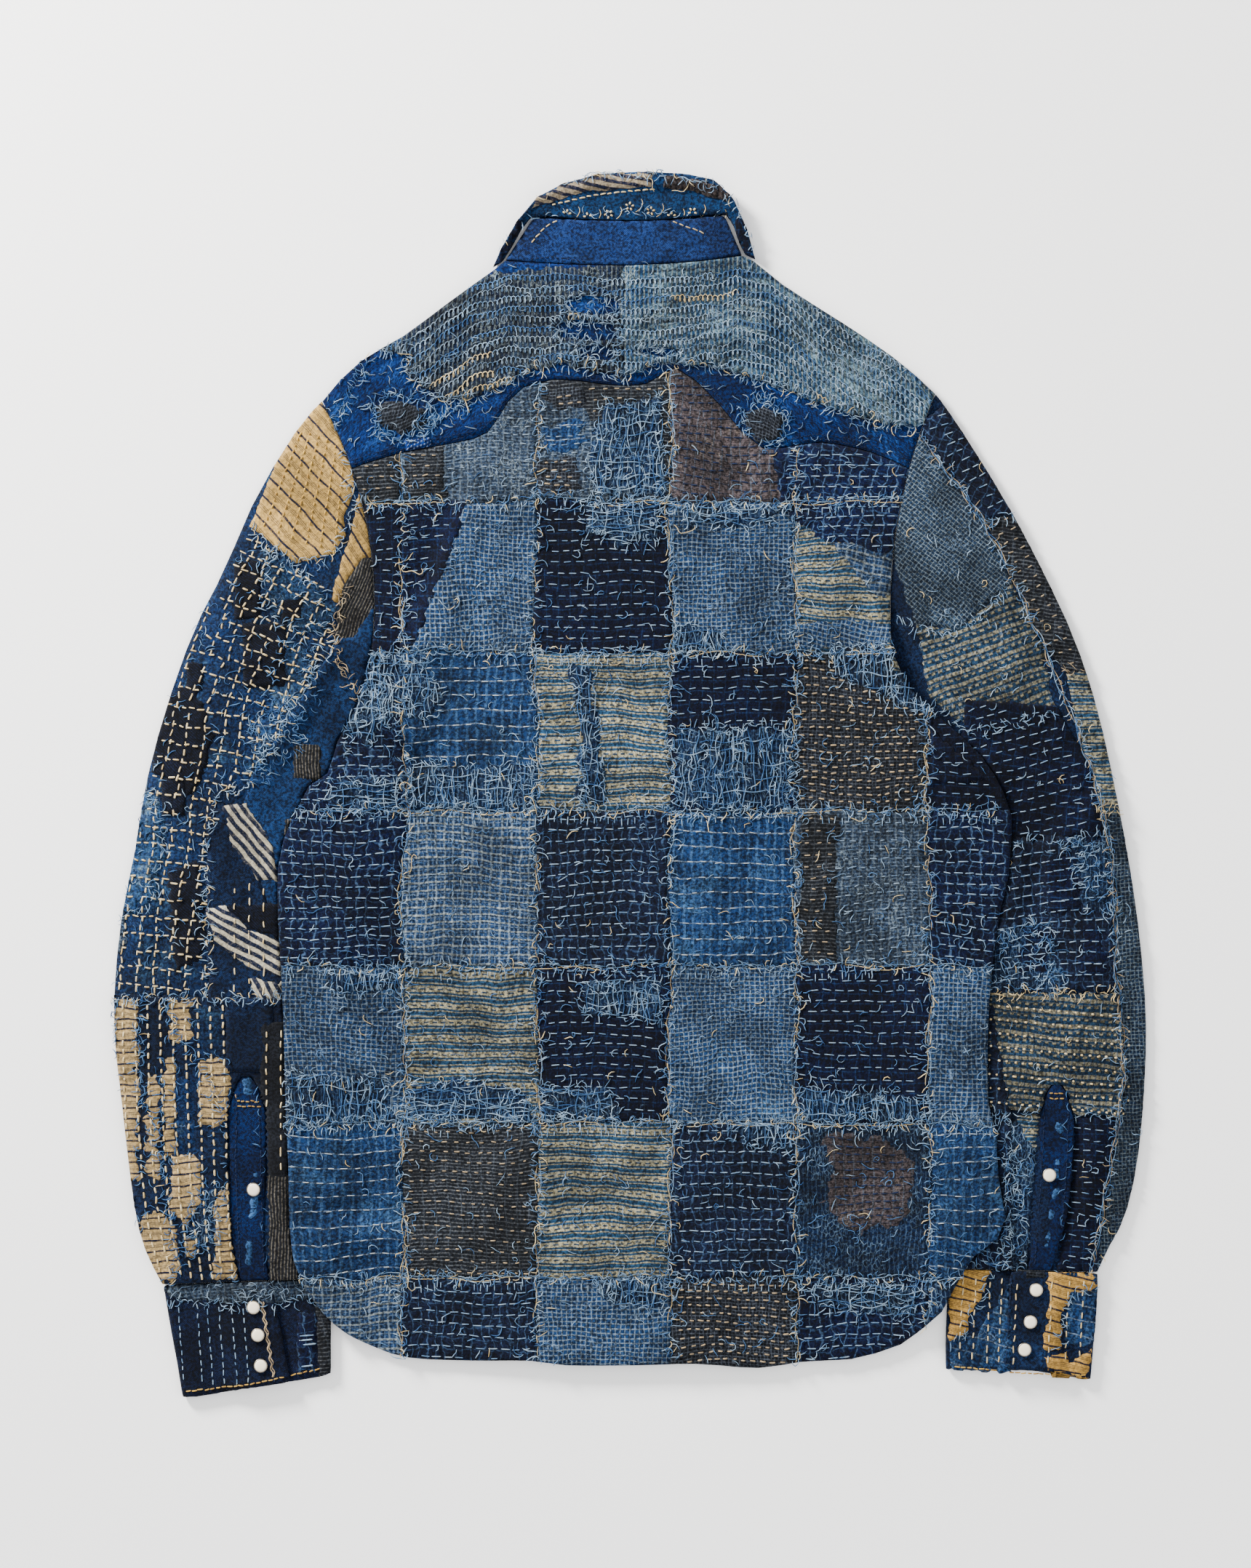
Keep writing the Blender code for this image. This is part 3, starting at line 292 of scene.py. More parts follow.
fabricLooks = {
    "midnight": clothLook("#040a28", "#0e2156", 0.45, 0.10, lines=[("v", 7.4, 0.9, 2.2, "#2c4877", 0.35),
        ("u", 8.2, 0.8, 0.0, "#2c4877", 0.3)]),
    "navyNet": clothLook("#071238", "#1a3266", 0.5, 0.2, sway=2.6,
        lines=[("u", 7.8, 0.9, 0.0, "#6f93c2", 0.5), ("v", 7.4, 0.7, 1.8, "#5f83b4", 0.4)]),
    "slateNet": clothLook("#111a36", "#2f3b58", 0.5, 0.14, sway=2.0,
        lines=[("u", 6.0, 0.8, 0.0, "#6385b3", 0.45), ("v", 7.4, 0.7, 1.5, "#5c7dab", 0.35)]),
    "paleCheck": clothLook("#204272", "#446f9f", 0.6, 0.45, lines=[("u", 3.3, 0.8, 0.0, "#a3b9cc", 0.6),
        ("v", 3.1, 0.8, 0.0, "#aabdca", 0.66)]),
    "wideCheck": clothLook("#233f68", "#4c7099", 0.5, 0.38, lines=[("u", 6.4, 1.5, 0.0, "#9db0be", 0.55),
        ("v", 5.6, 1.3, 0.0, "#bfc8c2", 0.62), ("v", 5.6, 0.6, 2.2, "#8fa5bd", 0.55),
        ("u", 6.4, 0.6, 3.0, "#7c97b6", 0.5)]),
    "wornBlue": clothLook("#1c3a68", "#47709f", 0.75, 0.3, lines=[("v", 10.4, 0.8, 0.0, "#aebfce", 0.55),
        ("u", 6.2, 1.8, 0.0, "#5c84b2", 0.45), ("v", 3.6, 1.2, 0.0, "#1b3863", 0.4)]),
    "gauze": clothLook("#0e2142", "#365a85", 0.5, 0.6, thread="#7896b6",
        lines=[("u", 3.1, 0.7, 0.0, "#6685a8", 0.35)]),
    "greyBlue": clothLook("#2a3b54", "#5c7187", 0.6, 0.5, thread="#94a5b0",
        lines=[("v", 2.4, 0.8, 0.0, "#7d8d9c", 0.4), ("u", 5.4, 1.2, 0.0, "#8b9aa5", 0.35)]),
    "creamStripe": clothLook("#335a7c", "#628398", 0.4, 0.2, lines=[("v", 10.8, 4.0, 0.0, "#d6cba4", 0.92),
        ("v", 10.8, 0.9, 3.7, "#c9bd97", 0.8), ("v", 10.8, 0.9, -3.7, "#c9bd97", 0.8),
        ("v", 10.8, 0.6, 5.4, "#1d3c60", 0.7), ("v", 10.8, 0.5, 2.5, "#1d3c60", 0.8),
        ("v", 10.8, 0.5, -2.5, "#1d3c60", 0.8)], dots=[(6.2, 3.4, 10.8, 0.9, 0.0, "#2c4c70")]),
    "dimStripe": clothLook("#22405c", "#55718a", 0.5, 0.4, lines=[("v", 8.6, 2.6, 0.0, "#bfb592", 0.8),
        ("v", 8.6, 0.8, 3.1, "#9a967f", 0.6), ("u", 4.4, 1.1, 0.0, "#23456b", 0.6)],
        dots=[(5.2, 2.6, 8.6, 1.4, 4.3, "#b7ac89")]),
    "dimCheck": clothLook("#1f3450", "#46617d", 0.5, 0.35, lines=[("u", 2.6, 0.6, 0.0, "#90a2ad", 0.6),
        ("v", 2.6, 0.6, 0.0, "#9dadb4", 0.65)]),
    "dotPlaid": clothLook("#181b25", "#43474f", 0.5, 0.16, lines=[("v", 2.3, 0.7, 0.0, "#727a86", 0.5),
        ("u", 2.5, 0.6, 0.0, "#656d79", 0.5)]),
    "brownStripe": clothLook("#1f232b", "#484b50", 0.45, 0.16, lines=[("v", 2.6, 0.8, 0.0, "#808488", 0.55),
        ("u", 8.4, 0.8, 0.0, "#5f6874", 0.4)]),
    "taupe": clothLook("#5c5152", "#a39284", 0.6, 0.3, thread="#8398ab",
        lines=[("v", 5.6, 1.0, 0.0, "#27304a", 0.7), ("v", 1.4, 0.5, 0.0, "#3d3840", 0.5),
        ("u", 6.4, 0.9, 0.0, "#6d7f93", 0.4)]),
    "pinstripe": clothLook("#202228", "#393a3d", 0.3, 0.04, lines=[("u", 2.1, 0.6, 0.0, "#8c8476", 0.75)]),
    "goldStripe": clothLook("#cda55c", "#dfb251", 0.6, 0.02, even=0.75,
        lines=[("v", 12.0, 1.4, 0.0, "#141c36", 1.0), ("v", 12.0, 0.4, 4.9, "#4d453f", 0.8),
        ("v", 12.0, 0.4, 6.0, "#4d453f", 0.8), ("v", 12.0, 0.4, 7.1, "#4d453f", 0.8)]),
    "tanStripe": clothLook("#cfae74", "#dfc48d", 0.5, 0.03, even=0.75,
        lines=[("v", 7.6, 1.3, 0.0, "#141c36", 1.0), ("v", 7.6, 0.35, 3.1, "#4f4d50", 0.75),
        ("v", 7.6, 0.35, 3.9, "#4f4d50", 0.75), ("v", 7.6, 0.35, 4.7, "#4f4d50", 0.75)]),
    "ticking": clothLook("#d9cfb4", "#e5ddc6", 0.3, 0.03, even=0.8,
        lines=[("v", 5.6, 2.8, 0.0, "#131f3c", 1.0)]),
    "indigo": clothLook("#142c55", "#44698f", 0.75, 0.24, sway=1.0,
        lines=[("u", 6.2, 1.4, 0.0, "#10244a", 0.6), ("v", 6.2, 1.4, 0.0, "#10244a", 0.6)]),
    "paleIndigo": clothLook("#33557c", "#8fa9b3", 0.75, 0.3, lines=[("u", 6.2, 2.4, 0.0, "#1b3a69", 0.7),
        ("v", 6.2, 2.2, 3.0, "#1b3a69", 0.7)]),
    "blackIndigo": clothLook("#070a18", "#121a33", 0.4, 0.02, lines=[("d", 2.0, 0.7, 0.0, "#1b2745", 0.6)]),
    "blueDenim": clothLook("#153466", "#2f5890", 0.6, 0.08, lines=[("d", 1.2, 0.4, 0.0, "#4f77a8", 0.35)]),
    "navyCloth": clothLook("#0f1e3e", "#234170", 0.6, 0.12, lines=[("d", 1.4, 0.4, 0.0, "#34527f", 0.3)]),
    "charcoal": clothLook("#1d2028", "#2c2f37", 0.4, 0.03),
    "cobalt": clothLook("#0d2662", "#3d70c4", 0.8, 0.16, thread="#6f97c9",
        lines=[("d", 1.2, 0.4, 0.0, "#3c62a8", 0.35), ("v", 9.0, 2.6, 0.0, "#0a1a44", 0.55)]),
    "ribGrey": clothLook("#11223f", "#4a6483", 0.7, 0.6, thread="#93a2a6",
        lines=[("v", 7.0, 1.8, 3.5, "#0e1c3c", 0.8), ("u", 3.4, 1.0, 0.0, "#8f9a97", 0.5)]),
    "ribBlue": clothLook("#264a6e", "#86abc0", 0.9, 0.55, thread="#a9bcbf",
        lines=[("v", 7.0, 1.7, 3.5, "#10284f", 0.8), ("u", 3.4, 1.1, 0.0, "#a9b3a4", 0.55)]),
    "darned": clothLook("#173578", "#1f4692", 0.3, 0.0, dots=[(2.6, 1.3, 2.6, 1.0, 0.0, "#8fa9d4")]),
    "frontCloth": clothLook("#142a50", "#33568a", 0.75, 0.10, lines=[("v", 7.4, 0.7, 0.0, "#5f81ab", 0.35),
        ("d", 1.3, 0.4, 0.0, "#3a5b8f", 0.3)]),
    "darkDenim": clothLook("#081a48", "#2f60a8", 0.36, 0.02,
        lines=[("d", 1.2, 0.45, 0.0, "#2b4c83", 0.45)]),
    "standDenim": clothLook("#182f6e", "#3f63a6", 0.6, 0.03, lines=[("d", 1.2, 0.45, 0.0, "#5b80b4", 0.4)]),
    "sprigBlue": clothLook("#193c69", "#3f6c96", 0.55, 0.12),
    "goldTick": clothLook("#d9a750", "#efc672", 0.5, 0.03, even=0.8,
        lines=[("v", 8.4, 1.3, 0.0, "#141c36", 1.0), ("v", 8.4, 0.35, 3.1, "#5a4a3c", 0.75),
        ("v", 8.4, 0.35, 4.2, "#5a4a3c", 0.75), ("v", 8.4, 0.35, 5.2, "#5a4a3c", 0.75)]),
    "wornStreak": clothLook("#5584c0", "#b4d0ec", 0.6, 0.0, lines=[("d", 1.2, 0.45, 0.0, "#24508c", 0.5)]),
    "cuffNavy": clothLook("#070f2a", "#162a55", 0.5, 0.1, lines=[("d", 1.4, 0.4, 0.0, "#2c416b", 0.35)]),
    "collarTick": clothLook("#b7a58a", "#cdbd9e", 0.4, 0.05, even=0.6,
        lines=[("v", 5.2, 2.4, 1.0, "#161f3e", 1.0)]),
    "ruchedBrown": clothLook("#4c4340", "#7c7068", 0.6, 0.2, lines=[("u", 4.0, 1.4, 0.0, "#17151d", 0.8)]),
}
clothDepth, clothChroma = 0.32, 1.05      # how bright, and how strong in colour, all cloths are


def fabricMaterial(name):
    look = fabricLooks[name]
    made, tree = newMaterial(name, True)

    def times(a, b):
        return maths(tree, "MULTIPLY", a, b)

    def raised(height, mask, by):
        return maths(tree, "ADD", height, times(mask, by))

    weave = addNode(tree, "ShaderNodeAttribute", attribute_name="weave").outputs["Vector"]
    # Threads wander a little, and nets wander more
    drift = noiseAt(tree, weave, 11.0, 2.0)
    drift = vectorMaths(tree, "SUBTRACT", {0: drift.outputs["Color"], 1: (0.5, 0.5, 0.5)})
    drift = vectorMaths(tree, "SCALE", {0: drift, "Scale": 2.2 + 3.4 * look["sway"]})
    place = vectorMaths(tree, "ADD", {0: weave, 1: drift})
    split = addNode(tree, "ShaderNodeSeparateXYZ", {0: place})
    axes = {"u": split.outputs[0], "v": split.outputs[1]}
    axes["d"] = maths(tree, "ADD", axes["u"], axes["v"])

    broad = noiseAt(tree, weave, 34.0, 3.0, 0.6).outputs["Fac"]
    fine = noiseAt(tree, place, 3.2, 3.0, 0.65).outputs["Fac"]
    wornPart = maths(tree, "ADD", times(broad, 0.62), times(fine, 0.38))
    wornMask = ramp(tree, wornPart, 0.72 - 0.28 * look["worn"], 0.86 - 0.24 * look["worn"])
    colour = mixColour(tree, wornMask, tone(look["base"]), tone(look["pale"]))
    height = times(fine, 0.35)
    even, fray = look["even"], look["fray"]
    kept = ramp(tree, fine, 0.30, 0.52, 0.35 + 0.6 * even, 1.0)   # woven lines break up where rubbed
    for axis, pitch, width, offset, code, strength in look["lines"]:
        mask = times(times(lineMask(tree, axes[axis], pitch, width, offset), kept), strength)
        colour = mixColour(tree, mask, colour, tone(code))
        height = raised(height, mask, 0.35)
    for pitchU, longU, pitchV, wideV, offset, code in look["dots"]:
        across = lineMask(tree, axes["u"], pitchU, longU)
        mask = times(across, lineMask(tree, axes["v"], pitchV, wideV, offset))
        colour = mixColour(tree, mask, colour, tone(code))
        height = raised(height, mask, 0.4)
    # Tangled broken threads on top, in patches
    if fray > 0.0:
        stretched = vectorMaths(tree, "MULTIPLY", {0: place, 1: (1.0, 0.62, 1.0)})
        cells = addNode(tree, "ShaderNodeTexVoronoi", {"Vector": stretched, "Scale": 0.36},
                        feature="DISTANCE_TO_EDGE").outputs["Distance"]
        tangle = ramp(tree, cells, 0.11, 0.02)
        patchy = noiseAt(tree, weave, 19.0, 3.0, 0.6).outputs["Fac"]
        low = 0.78 - 0.5 * fray
        tangle = times(tangle, ramp(tree, patchy, low, low + 0.12, 0.25 * fray, 1.0))
        tangle = times(tangle, min(1.0, 0.55 + 0.4 * fray))
        colour = mixColour(tree, tangle, colour, tone(look["thread"]))
        height = raised(height, tangle, 0.9)
    # Lint, the dark between yarns, and broad painted shade: a dark mottle that runs over neighbouring patches
    # in place of the shading of folds
    lint = noiseAt(tree, weave, 0.9, 2.0, 0.7).outputs["Fac"]
    colour = mixColour(tree, ramp(tree, lint, 0.58, 0.76, 0.0, 0.4), colour, tone(look["pale"]))
    height = raised(height, lint, 0.5)
    grain = noiseAt(tree, place, 1.8, 3.0, 0.62).outputs["Fac"]
    shade = ramp(tree, grain, 0.37, 0.63, 0.26 + 0.5 * even, 1.42 - 0.3 * even)
    spot = addNode(tree, "ShaderNodeTexCoord").outputs["Object"]
    # Painted shade: a broad mottle of darker and lighter cloth that stands in for the shading of folds
    paintedShadeMottle = noiseAt(tree, spot, 0.036, 4.0, 0.6).outputs["Fac"]
    shade = times(shade, ramp(tree, paintedShadeMottle, 0.38, 0.62, 0.6 + 0.25 * even, 1.25 - 0.15 * even))
    number = addNode(tree, "ShaderNodeSeparateXYZ", {0: weave}).outputs[2]      # one for each patch
    patchTone = addNode(tree, "ShaderNodeTexWhiteNoise", {"W": number}, noise_dimensions="1D")
    shade = times(shade, ramp(tree, patchTone.outputs["Value"], 0.0, 1.0,
                              (0.84 + 0.5 * even) * clothDepth, (1.16 + 0.5 * even) * clothDepth))
    chroma = clothChroma if even < 0.5 else 1.0
    colour = addNode(tree, "ShaderNodeHueSaturation", {"Saturation": chroma, "Color": colour}).outputs[0]
    colour = vectorMaths(tree, "SCALE", {0: colour, "Scale": shade})
    bump = addNode(tree, "ShaderNodeBump", {"Strength": 0.9, "Distance": 0.0007, "Height": height})
    finishShader(tree, {"Base Color": colour, "Roughness": 0.92, "Normal": bump.outputs[0],
                        "Specular IOR Level": 0.08, "Sheen Weight": 0.02, "Sheen Roughness": 0.6})
    return made


def threadMaterial(name, code, darkCode):
    made, tree = newMaterial(name, True)
    place = addNode(tree, "ShaderNodeTexCoord").outputs["Object"]
    patchy = noiseAt(tree, place, 0.006, 3.0, 0.6).outputs["Fac"]
    colour = mixColour(tree, ramp(tree, patchy, 0.35, 0.66), tone(darkCode), tone(code))
    colour = vectorMaths(tree, "SCALE", {0: colour, "Scale": 0.55})
    twist = noiseAt(tree, place, 0.0004, 2.0).outputs["Fac"]
    bump = addNode(tree, "ShaderNodeBump", {"Strength": 0.5, "Distance": 0.0002, "Height": twist})
    finishShader(tree, {"Base Color": colour, "Roughness": 0.85, "Normal": bump.outputs[0],
                        "Specular IOR Level": 0.1, "Sheen Weight": 0.03})
    return made


fabrics = {name: fabricMaterial(name) for name in fabricLooks}
threadTones = {      # bright and dark parts of each thread
    "cream": ("#f6e3b4", "#d2b47c"), "tan": ("#c9b08a", "#8f7d64"), "gold": ("#e0b556", "#a97f3c"),
    "paleBlue": ("#a9c3da", "#5d82a8"), "midBlue": ("#5d89b8", "#2a4f82"),
    "greyBlue": ("#93a7ba", "#4b6480"), "white": ("#d8dcd8", "#a3b2c0"), "navy": ("#1b2a4d", "#0f1830"),
}
threads = {name: threadMaterial(name + "Thread", *tones) for name, tones in threadTones.items()}
print("materials made", len(fabrics) + len(threads))


# The longest loop round a solid's upward faces, each point marked where the cloth folds under there
def upperLoop(nodeName):
    shape = bmesh.new()
    shape.from_mesh(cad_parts[nodeName].data)
    bmesh.ops.remove_doubles(shape, verts=shape.verts, dist=1e-6)
    shape.normal_update()
    facing = {f for f in shape.faces if f.normal.z > 0.05}
    groups = []
    while facing:
        front = [next(f for f in shape.faces if f in facing)]
        group = set()
        facing.discard(front[0])
        while front:
            face = front.pop()
            group.add(face)
            for edge in face.edges:
                for other in edge.link_faces:
                    if other in facing:
                        facing.discard(other)
                        front.append(other)
        groups.append(group)
    group = max(groups, key=lambda g: (round(max(f.calc_center_median().z for f in g), 4), len(g)))
    after = {}
    for face in [f for f in shape.faces if f in group]:      # in the mesh's order, the same each run
        for loop in face.loops:
            others = [f for f in loop.edge.link_faces if f not in group]
            if others:
                after[loop.vert] = (loop.link_loop_next.vert, others[0].normal.z < -0.05)
    loops = []
    while after:
        start = next(iter(after))
        loop, here = [], start
        while here in after:
            there, folded = after.pop(here)
            loop.append((here.co.x / mm, here.co.y / mm, 1.0 if folded else 0.0))
            here = there
        loops.append(loop)
    shape.free()
    return max(loops, key=len)


def nodeTree(nodeName):
    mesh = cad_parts[nodeName].data
    return treeOf([v.co for v in mesh.vertices], [p.vertices for p in mesh.polygons])


def fillLoop(loop, step):
    # Triangles over an outline with even points inside, and where its own points came to be
    outer = np.array([p[:2] for p in loop])
    gridX, gridY = evenGrid(outer.min(0), outer.max(0), step)
    keep = insideLoop(outer, gridX, gridY)
    gridX, gridY = gridX[keep], gridY[keep]
    keep = loopDistance(outer, gridX, gridY) > step * 0.55
    points = [tuple(p[:2]) for p in loop] + list(zip(gridX[keep].tolist(), gridY[keep].tolist()))
    xy, triangles, centre, origins = trianglesOver(points, loopEdges(0, len(loop)))
    triangles = facingUp(xy, triangles[insideLoop(outer, centre[:, 0], centre[:, 1])])
    placeOf = {first: k for k, group in enumerate(origins) for first in group}
    return xy, triangles, [placeOf.get(k, -1) for k in range(len(loop))]


def evenOut(heights, triangles, fixed, rounds):
    # Rounds off the facets of a solid: each free point moves towards its neighbours' mean
    pairs = np.vstack([triangles[:, [0, 1]], triangles[:, [1, 2]], triangles[:, [2, 0]]])
    pairs = np.vstack([pairs, pairs[:, ::-1]])
    count = len(heights)
    degree = np.maximum(np.bincount(pairs[:, 0], minlength=count), 1)
    for _ in range(rounds):
        mean = np.bincount(pairs[:, 0], heights[pairs[:, 1]], count) / degree
        heights = np.where(fixed, heights, 0.4 * heights + 0.6 * mean)
    return heights


def creaseHeight(creases, x, y):
    # Listed folds: soft ridges, or troughs where the height is below zero
    total = np.zeros(np.shape(x))
    for height, left, right, fade, route in creases:
        offset, along, length = alongRoute(smoothRoute(route), x, y)
        width = np.where(offset > 0, left, right)
        ends = easeIn(np.minimum(along, length - along) / fade)
        total += height * np.exp(-((offset / width) ** 2)) * ends
    return total


def placeObject(name, data):
    made = bpy.data.objects.new(name, data)
    bpy.context.scene.collection.objects.link(made)
    return made


def newObject(name, points, faces, materialsUsed, faceMaterials=None, weave=None):
    mesh = bpy.data.meshes.new(name)
    mesh.from_pydata([tuple(p) for p in points], [], [tuple(int(k) for k in f) for f in faces])
    for used in materialsUsed:
        mesh.materials.append(used)
    if faceMaterials is not None:
        mesh.polygons.foreach_set("material_index", np.array(faceMaterials, np.int32))
    if weave is not None:
        layer = mesh.attributes.new("weave", "FLOAT_VECTOR", "POINT")
        layer.data.foreach_set("vector", np.array(weave, np.float32).ravel())
    mesh.polygons.foreach_set("use_smooth", [True] * len(mesh.polygons))
    mesh.update()
    return placeObject(name, mesh)


# A cloth base: draped over its solid, with its own folds and rows
drapeSettings = {"foldStrength": 1.9, "edgeFade": 8.0, "underStep": 2.6, "edgeHalf": 0.5}


def drapeCloth(settings):
    name, step, d = settings["node"], settings["step"], drapeSettings
    outline = resample(upperLoop(name), step)
    tree = nodeTree(name)
    xy, triangles, border = fillLoop(outline, step)
    x, y = xy[:, 0], xy[:, 1]
    upper = heightsOn(tree, x, y)
    isBorder = np.zeros(len(xy), bool)
    isBorder[[k for k in border if k >= 0]] = True
    upper = evenOut(upper, triangles, isBorder, settings["rounds"])
    away = loopDistance(np.array([p[:2] for p in outline]), x, y)
    folds = d["foldStrength"] * creaseHeight(settings["creases"], x, y) + settings["relief"](x, y)
    upper += folds * easeIn(away / d["edgeFade"])
    folded = [p[2] > 0.5 for p in outline]
    underXy, underTriangles, underBorder = fillLoop(outline, step * d["underStep"])
    lower = heightsOn(tree, underXy[:, 0], underXy[:, 1], above=False)
    first = len(xy)
    points = [(a, b, c) for (a, b), c in zip(xy, upper)] + [(a, b, c) for (a, b), c in zip(underXy, lower)]
    faces = [list(t) for t in triangles]
    faces += [[first + t[0], first + t[2], first + t[1]] for t in underTriangles]
    for there in range(len(outline)):
        here = there - 1
        if settings.get("tube") and not (folded[here] and folded[there]):
            continue
        faces.append([border[there], border[here], first + underBorder[here], first + underBorder[there]])
    for k, (place, low) in enumerate(zip(border, underBorder)):
        top, bottom = points[place], points[first + low]
        if folded[k]:
            middle = (top[2] + bottom[2]) / 2
            points[place] = (top[0], top[1], middle + d["edgeHalf"])
            points[first + low] = (bottom[0], bottom[1], middle - d["edgeHalf"])
    weave = np.zeros((len(points), 3))
    every = np.array(points)
    weave[:, 0], weave[:, 1] = settings["toWeave"](every[:, 0], every[:, 1])
    made = newObject(settings["name"], every * mm, faces, [fabrics[settings["fabric"]]], None, weave)
    print("draped", settings["name"], "triangles about", len(faces))
    return dict(settings, object=made, loop=np.array([p[:2] for p in resample(outline, 2.6)]), patches=[],
                sewn={}, strands={}, levels=[], tree=treeOf(every * mm, faces))


seedCount = iter(range(100, 100000))
patchSettings = {"perLevel": 0.36, "rimDrop": 0.22, "skirtDrop": 0.1, "margin": 6.0}


def raggedLoop(outline, rag, seed):
    line = np.array(resample([tuple(p) for p in outline], 2.1))
    draw = np.random.default_rng(seed)
    wave = softNoise(line[:, 0], line[:, 1], seed, 13.0) * 0.8 + draw.normal(0, 0.5, len(line))
    return line + sideways(line) * (wave * rag)[:, None]


def lapsOver(a, b):
    # Whether two pieces cover each other by more than a ragged edge
    for one, other in ((a, b), (b, a)):
        x, y = one[::2, 0], one[::2, 1]
        within = insideLoop(other, x, y)
        if within.any() and (loopDistance(other, x[within], y[within]) > 1.6).any():
            return True
    return False


def layPatch(sheet, fabric, outline, angle=0.0, lift=0.55, rag=0.5, step=2.7, holes=()):
    # A piece of cloth laid on a base, cut off at the base's own edge
    seed, s = next(seedCount), patchSettings
    loop = raggedLoop(outline, rag, seed)
    clip = sheet["loop"]
    level = 1 + max([other[1] for other in sheet["levels"] if lapsOver(loop, other[0])], default=0)
    sheet["levels"].append((loop, level))
    lift += s["perLevel"] * (level - 1)
    low, high = loop.min(0) - s["margin"], loop.max(0) + s["margin"]
    near = ((clip > low) & (clip < high)).all(1)
    points, edges = [], []
    for ring in [loop] + [raggedLoop(hole, rag * 0.7, seed + 7) for hole in holes]:
        edges += loopEdges(len(points), len(ring))
        points += [tuple(p) for p in ring]
    previous = None
    for k in np.flatnonzero(near):
        points.append(tuple(clip[k]))
        if previous == k - 1:
            edges.append((len(points) - 2, len(points) - 1))
        previous = k
    gridX, gridY = evenGrid(low + s["margin"], high - s["margin"], step)
    keep = insideLoop(loop, gridX, gridY)
    gridX, gridY = gridX[keep], gridY[keep]
    keep = (loopDistance(loop, gridX, gridY) > 1.3) & insideLoop(clip, gridX, gridY)
    points += list(zip(gridX[keep].tolist(), gridY[keep].tolist()))
    xy, triangles, centre, _ = trianglesOver(points, edges)
    keep = insideLoop(loop, centre[:, 0], centre[:, 1]) & insideLoop(clip, centre[:, 0], centre[:, 1])
    for gone in [np.array(hole) for hole in holes] + sheet.get("cover", []):
        keep &= ~insideLoop(gone, centre[:, 0], centre[:, 1])
    if not keep.any():
        return None
    used, triangles = np.unique(triangles[keep], return_inverse=True)
    xy = xy[used]
    triangles = facingUp(xy, triangles.reshape(-1, 3))
    x, y = xy[:, 0], xy[:, 1]
    directed = {(int(t[k]), int(t[(k + 1) % 3])) for t in triangles for k in range(3)}
    rim = [(p, q) for p, q in directed if (q, p) not in directed]
    onRim = np.zeros(len(xy), bool)
    onRim[[p for pair in rim for p in pair]] = True
    z = heightsOn(sheet["tree"], x, y) + lift + sheet["patchRelief"](x, y, seed) * ~onRim
    z -= onRim * s["rimDrop"]
    faces = [list(t) for t in triangles]
    places = list(zip(x, y, z))
    skirt = {}
    for k in np.flatnonzero(onRim):
        skirt[k] = len(places)
        places.append((x[k], y[k], z[k] - lift - s["skirtDrop"]))
    faces += [[p, skirt[p], skirt[q], q] for p, q in rim]
    every = np.array(places)
    toWeave = sheet.get("patchWeave", sheet["toWeave"])
    u, v = toWeave(every[:, 0], every[:, 1])
    if angle:
        cu, cv = toWeave(*loop.mean(0)[:, None])
        turn = math.radians(angle)
        du, dv = u - cu, v - cv
        u, v = du * math.cos(turn) + dv * math.sin(turn) + cu, dv * math.cos(turn) - du * math.sin(turn) + cv
    weave = np.stack([u, v, np.full(len(u), (seed % 61) * 23.0)], 1)      # the last tells patches apart
    sheet["patches"].append((every, faces, fabric, weave))
    return loop


def joinPatches(sheet, name):
    # All the patches of one base become one piece, with a material for each cloth
    points, faces, marks, weave, names = [], [], [], [], []
    for every, patchFaces, fabric, patchWeave in sheet["patches"]:
        if fabric not in names:
            names.append(fabric)
        first = len(points)
        points += [tuple(p) for p in every * mm]
        faces += [[first + k for k in face] for face in patchFaces]
        marks += [names.index(fabric)] * len(patchFaces)
        weave.append(patchWeave)
    made = newObject(name, points, faces, [fabrics[n] for n in names], marks, np.vstack(weave))
    base = sheet["object"].data
    first = len(points)
    allPoints = points + [tuple(v.co) for v in base.vertices]
    allFaces = faces + [[first + k for k in p.vertices] for p in base.polygons]
    sheet["top"] = treeOf(allPoints, allFaces)
    print("patches of", name, "triangles about", len(faces))
    return made


# Stitches and loose threads are noted first, and made together at the end
def addStitch(sheet, colour, ends, size):
    sheet["sewn"].setdefault(colour, []).append((np.array(ends), size))


def addStrand(sheet, colour, line, rise=0.5, thick=0.28):
    # A loose thread along plan points, standing off the cloth by the rise
    sheet["strands"].setdefault(colour, []).append((np.array(line, float), rise, thick))


def sewRow(sheet, colour, line, length=5.5, gap=3.0, jitter=0.3, size=1.0):
    # Running stitches along a line of points
    draw = random.Random(next(seedCount))
    route = np.array(line, float)
    offsets = walkedTo(route)
    at = draw.uniform(0, length)
    while at + length < offsets[-1]:
        long = length * draw.uniform(1 - jitter, 1 + jitter * 0.6)
        ends = np.stack([np.interp([at, at + long], offsets, route[:, k]) for k in (0, 1)], 1)
        ends += np.array([[draw.gauss(0, 0.25), draw.gauss(0, 0.25)] for _ in (0, 1)])
        addStitch(sheet, colour, ends, size)
        at += long + gap * draw.uniform(1 - jitter, 1 + jitter)


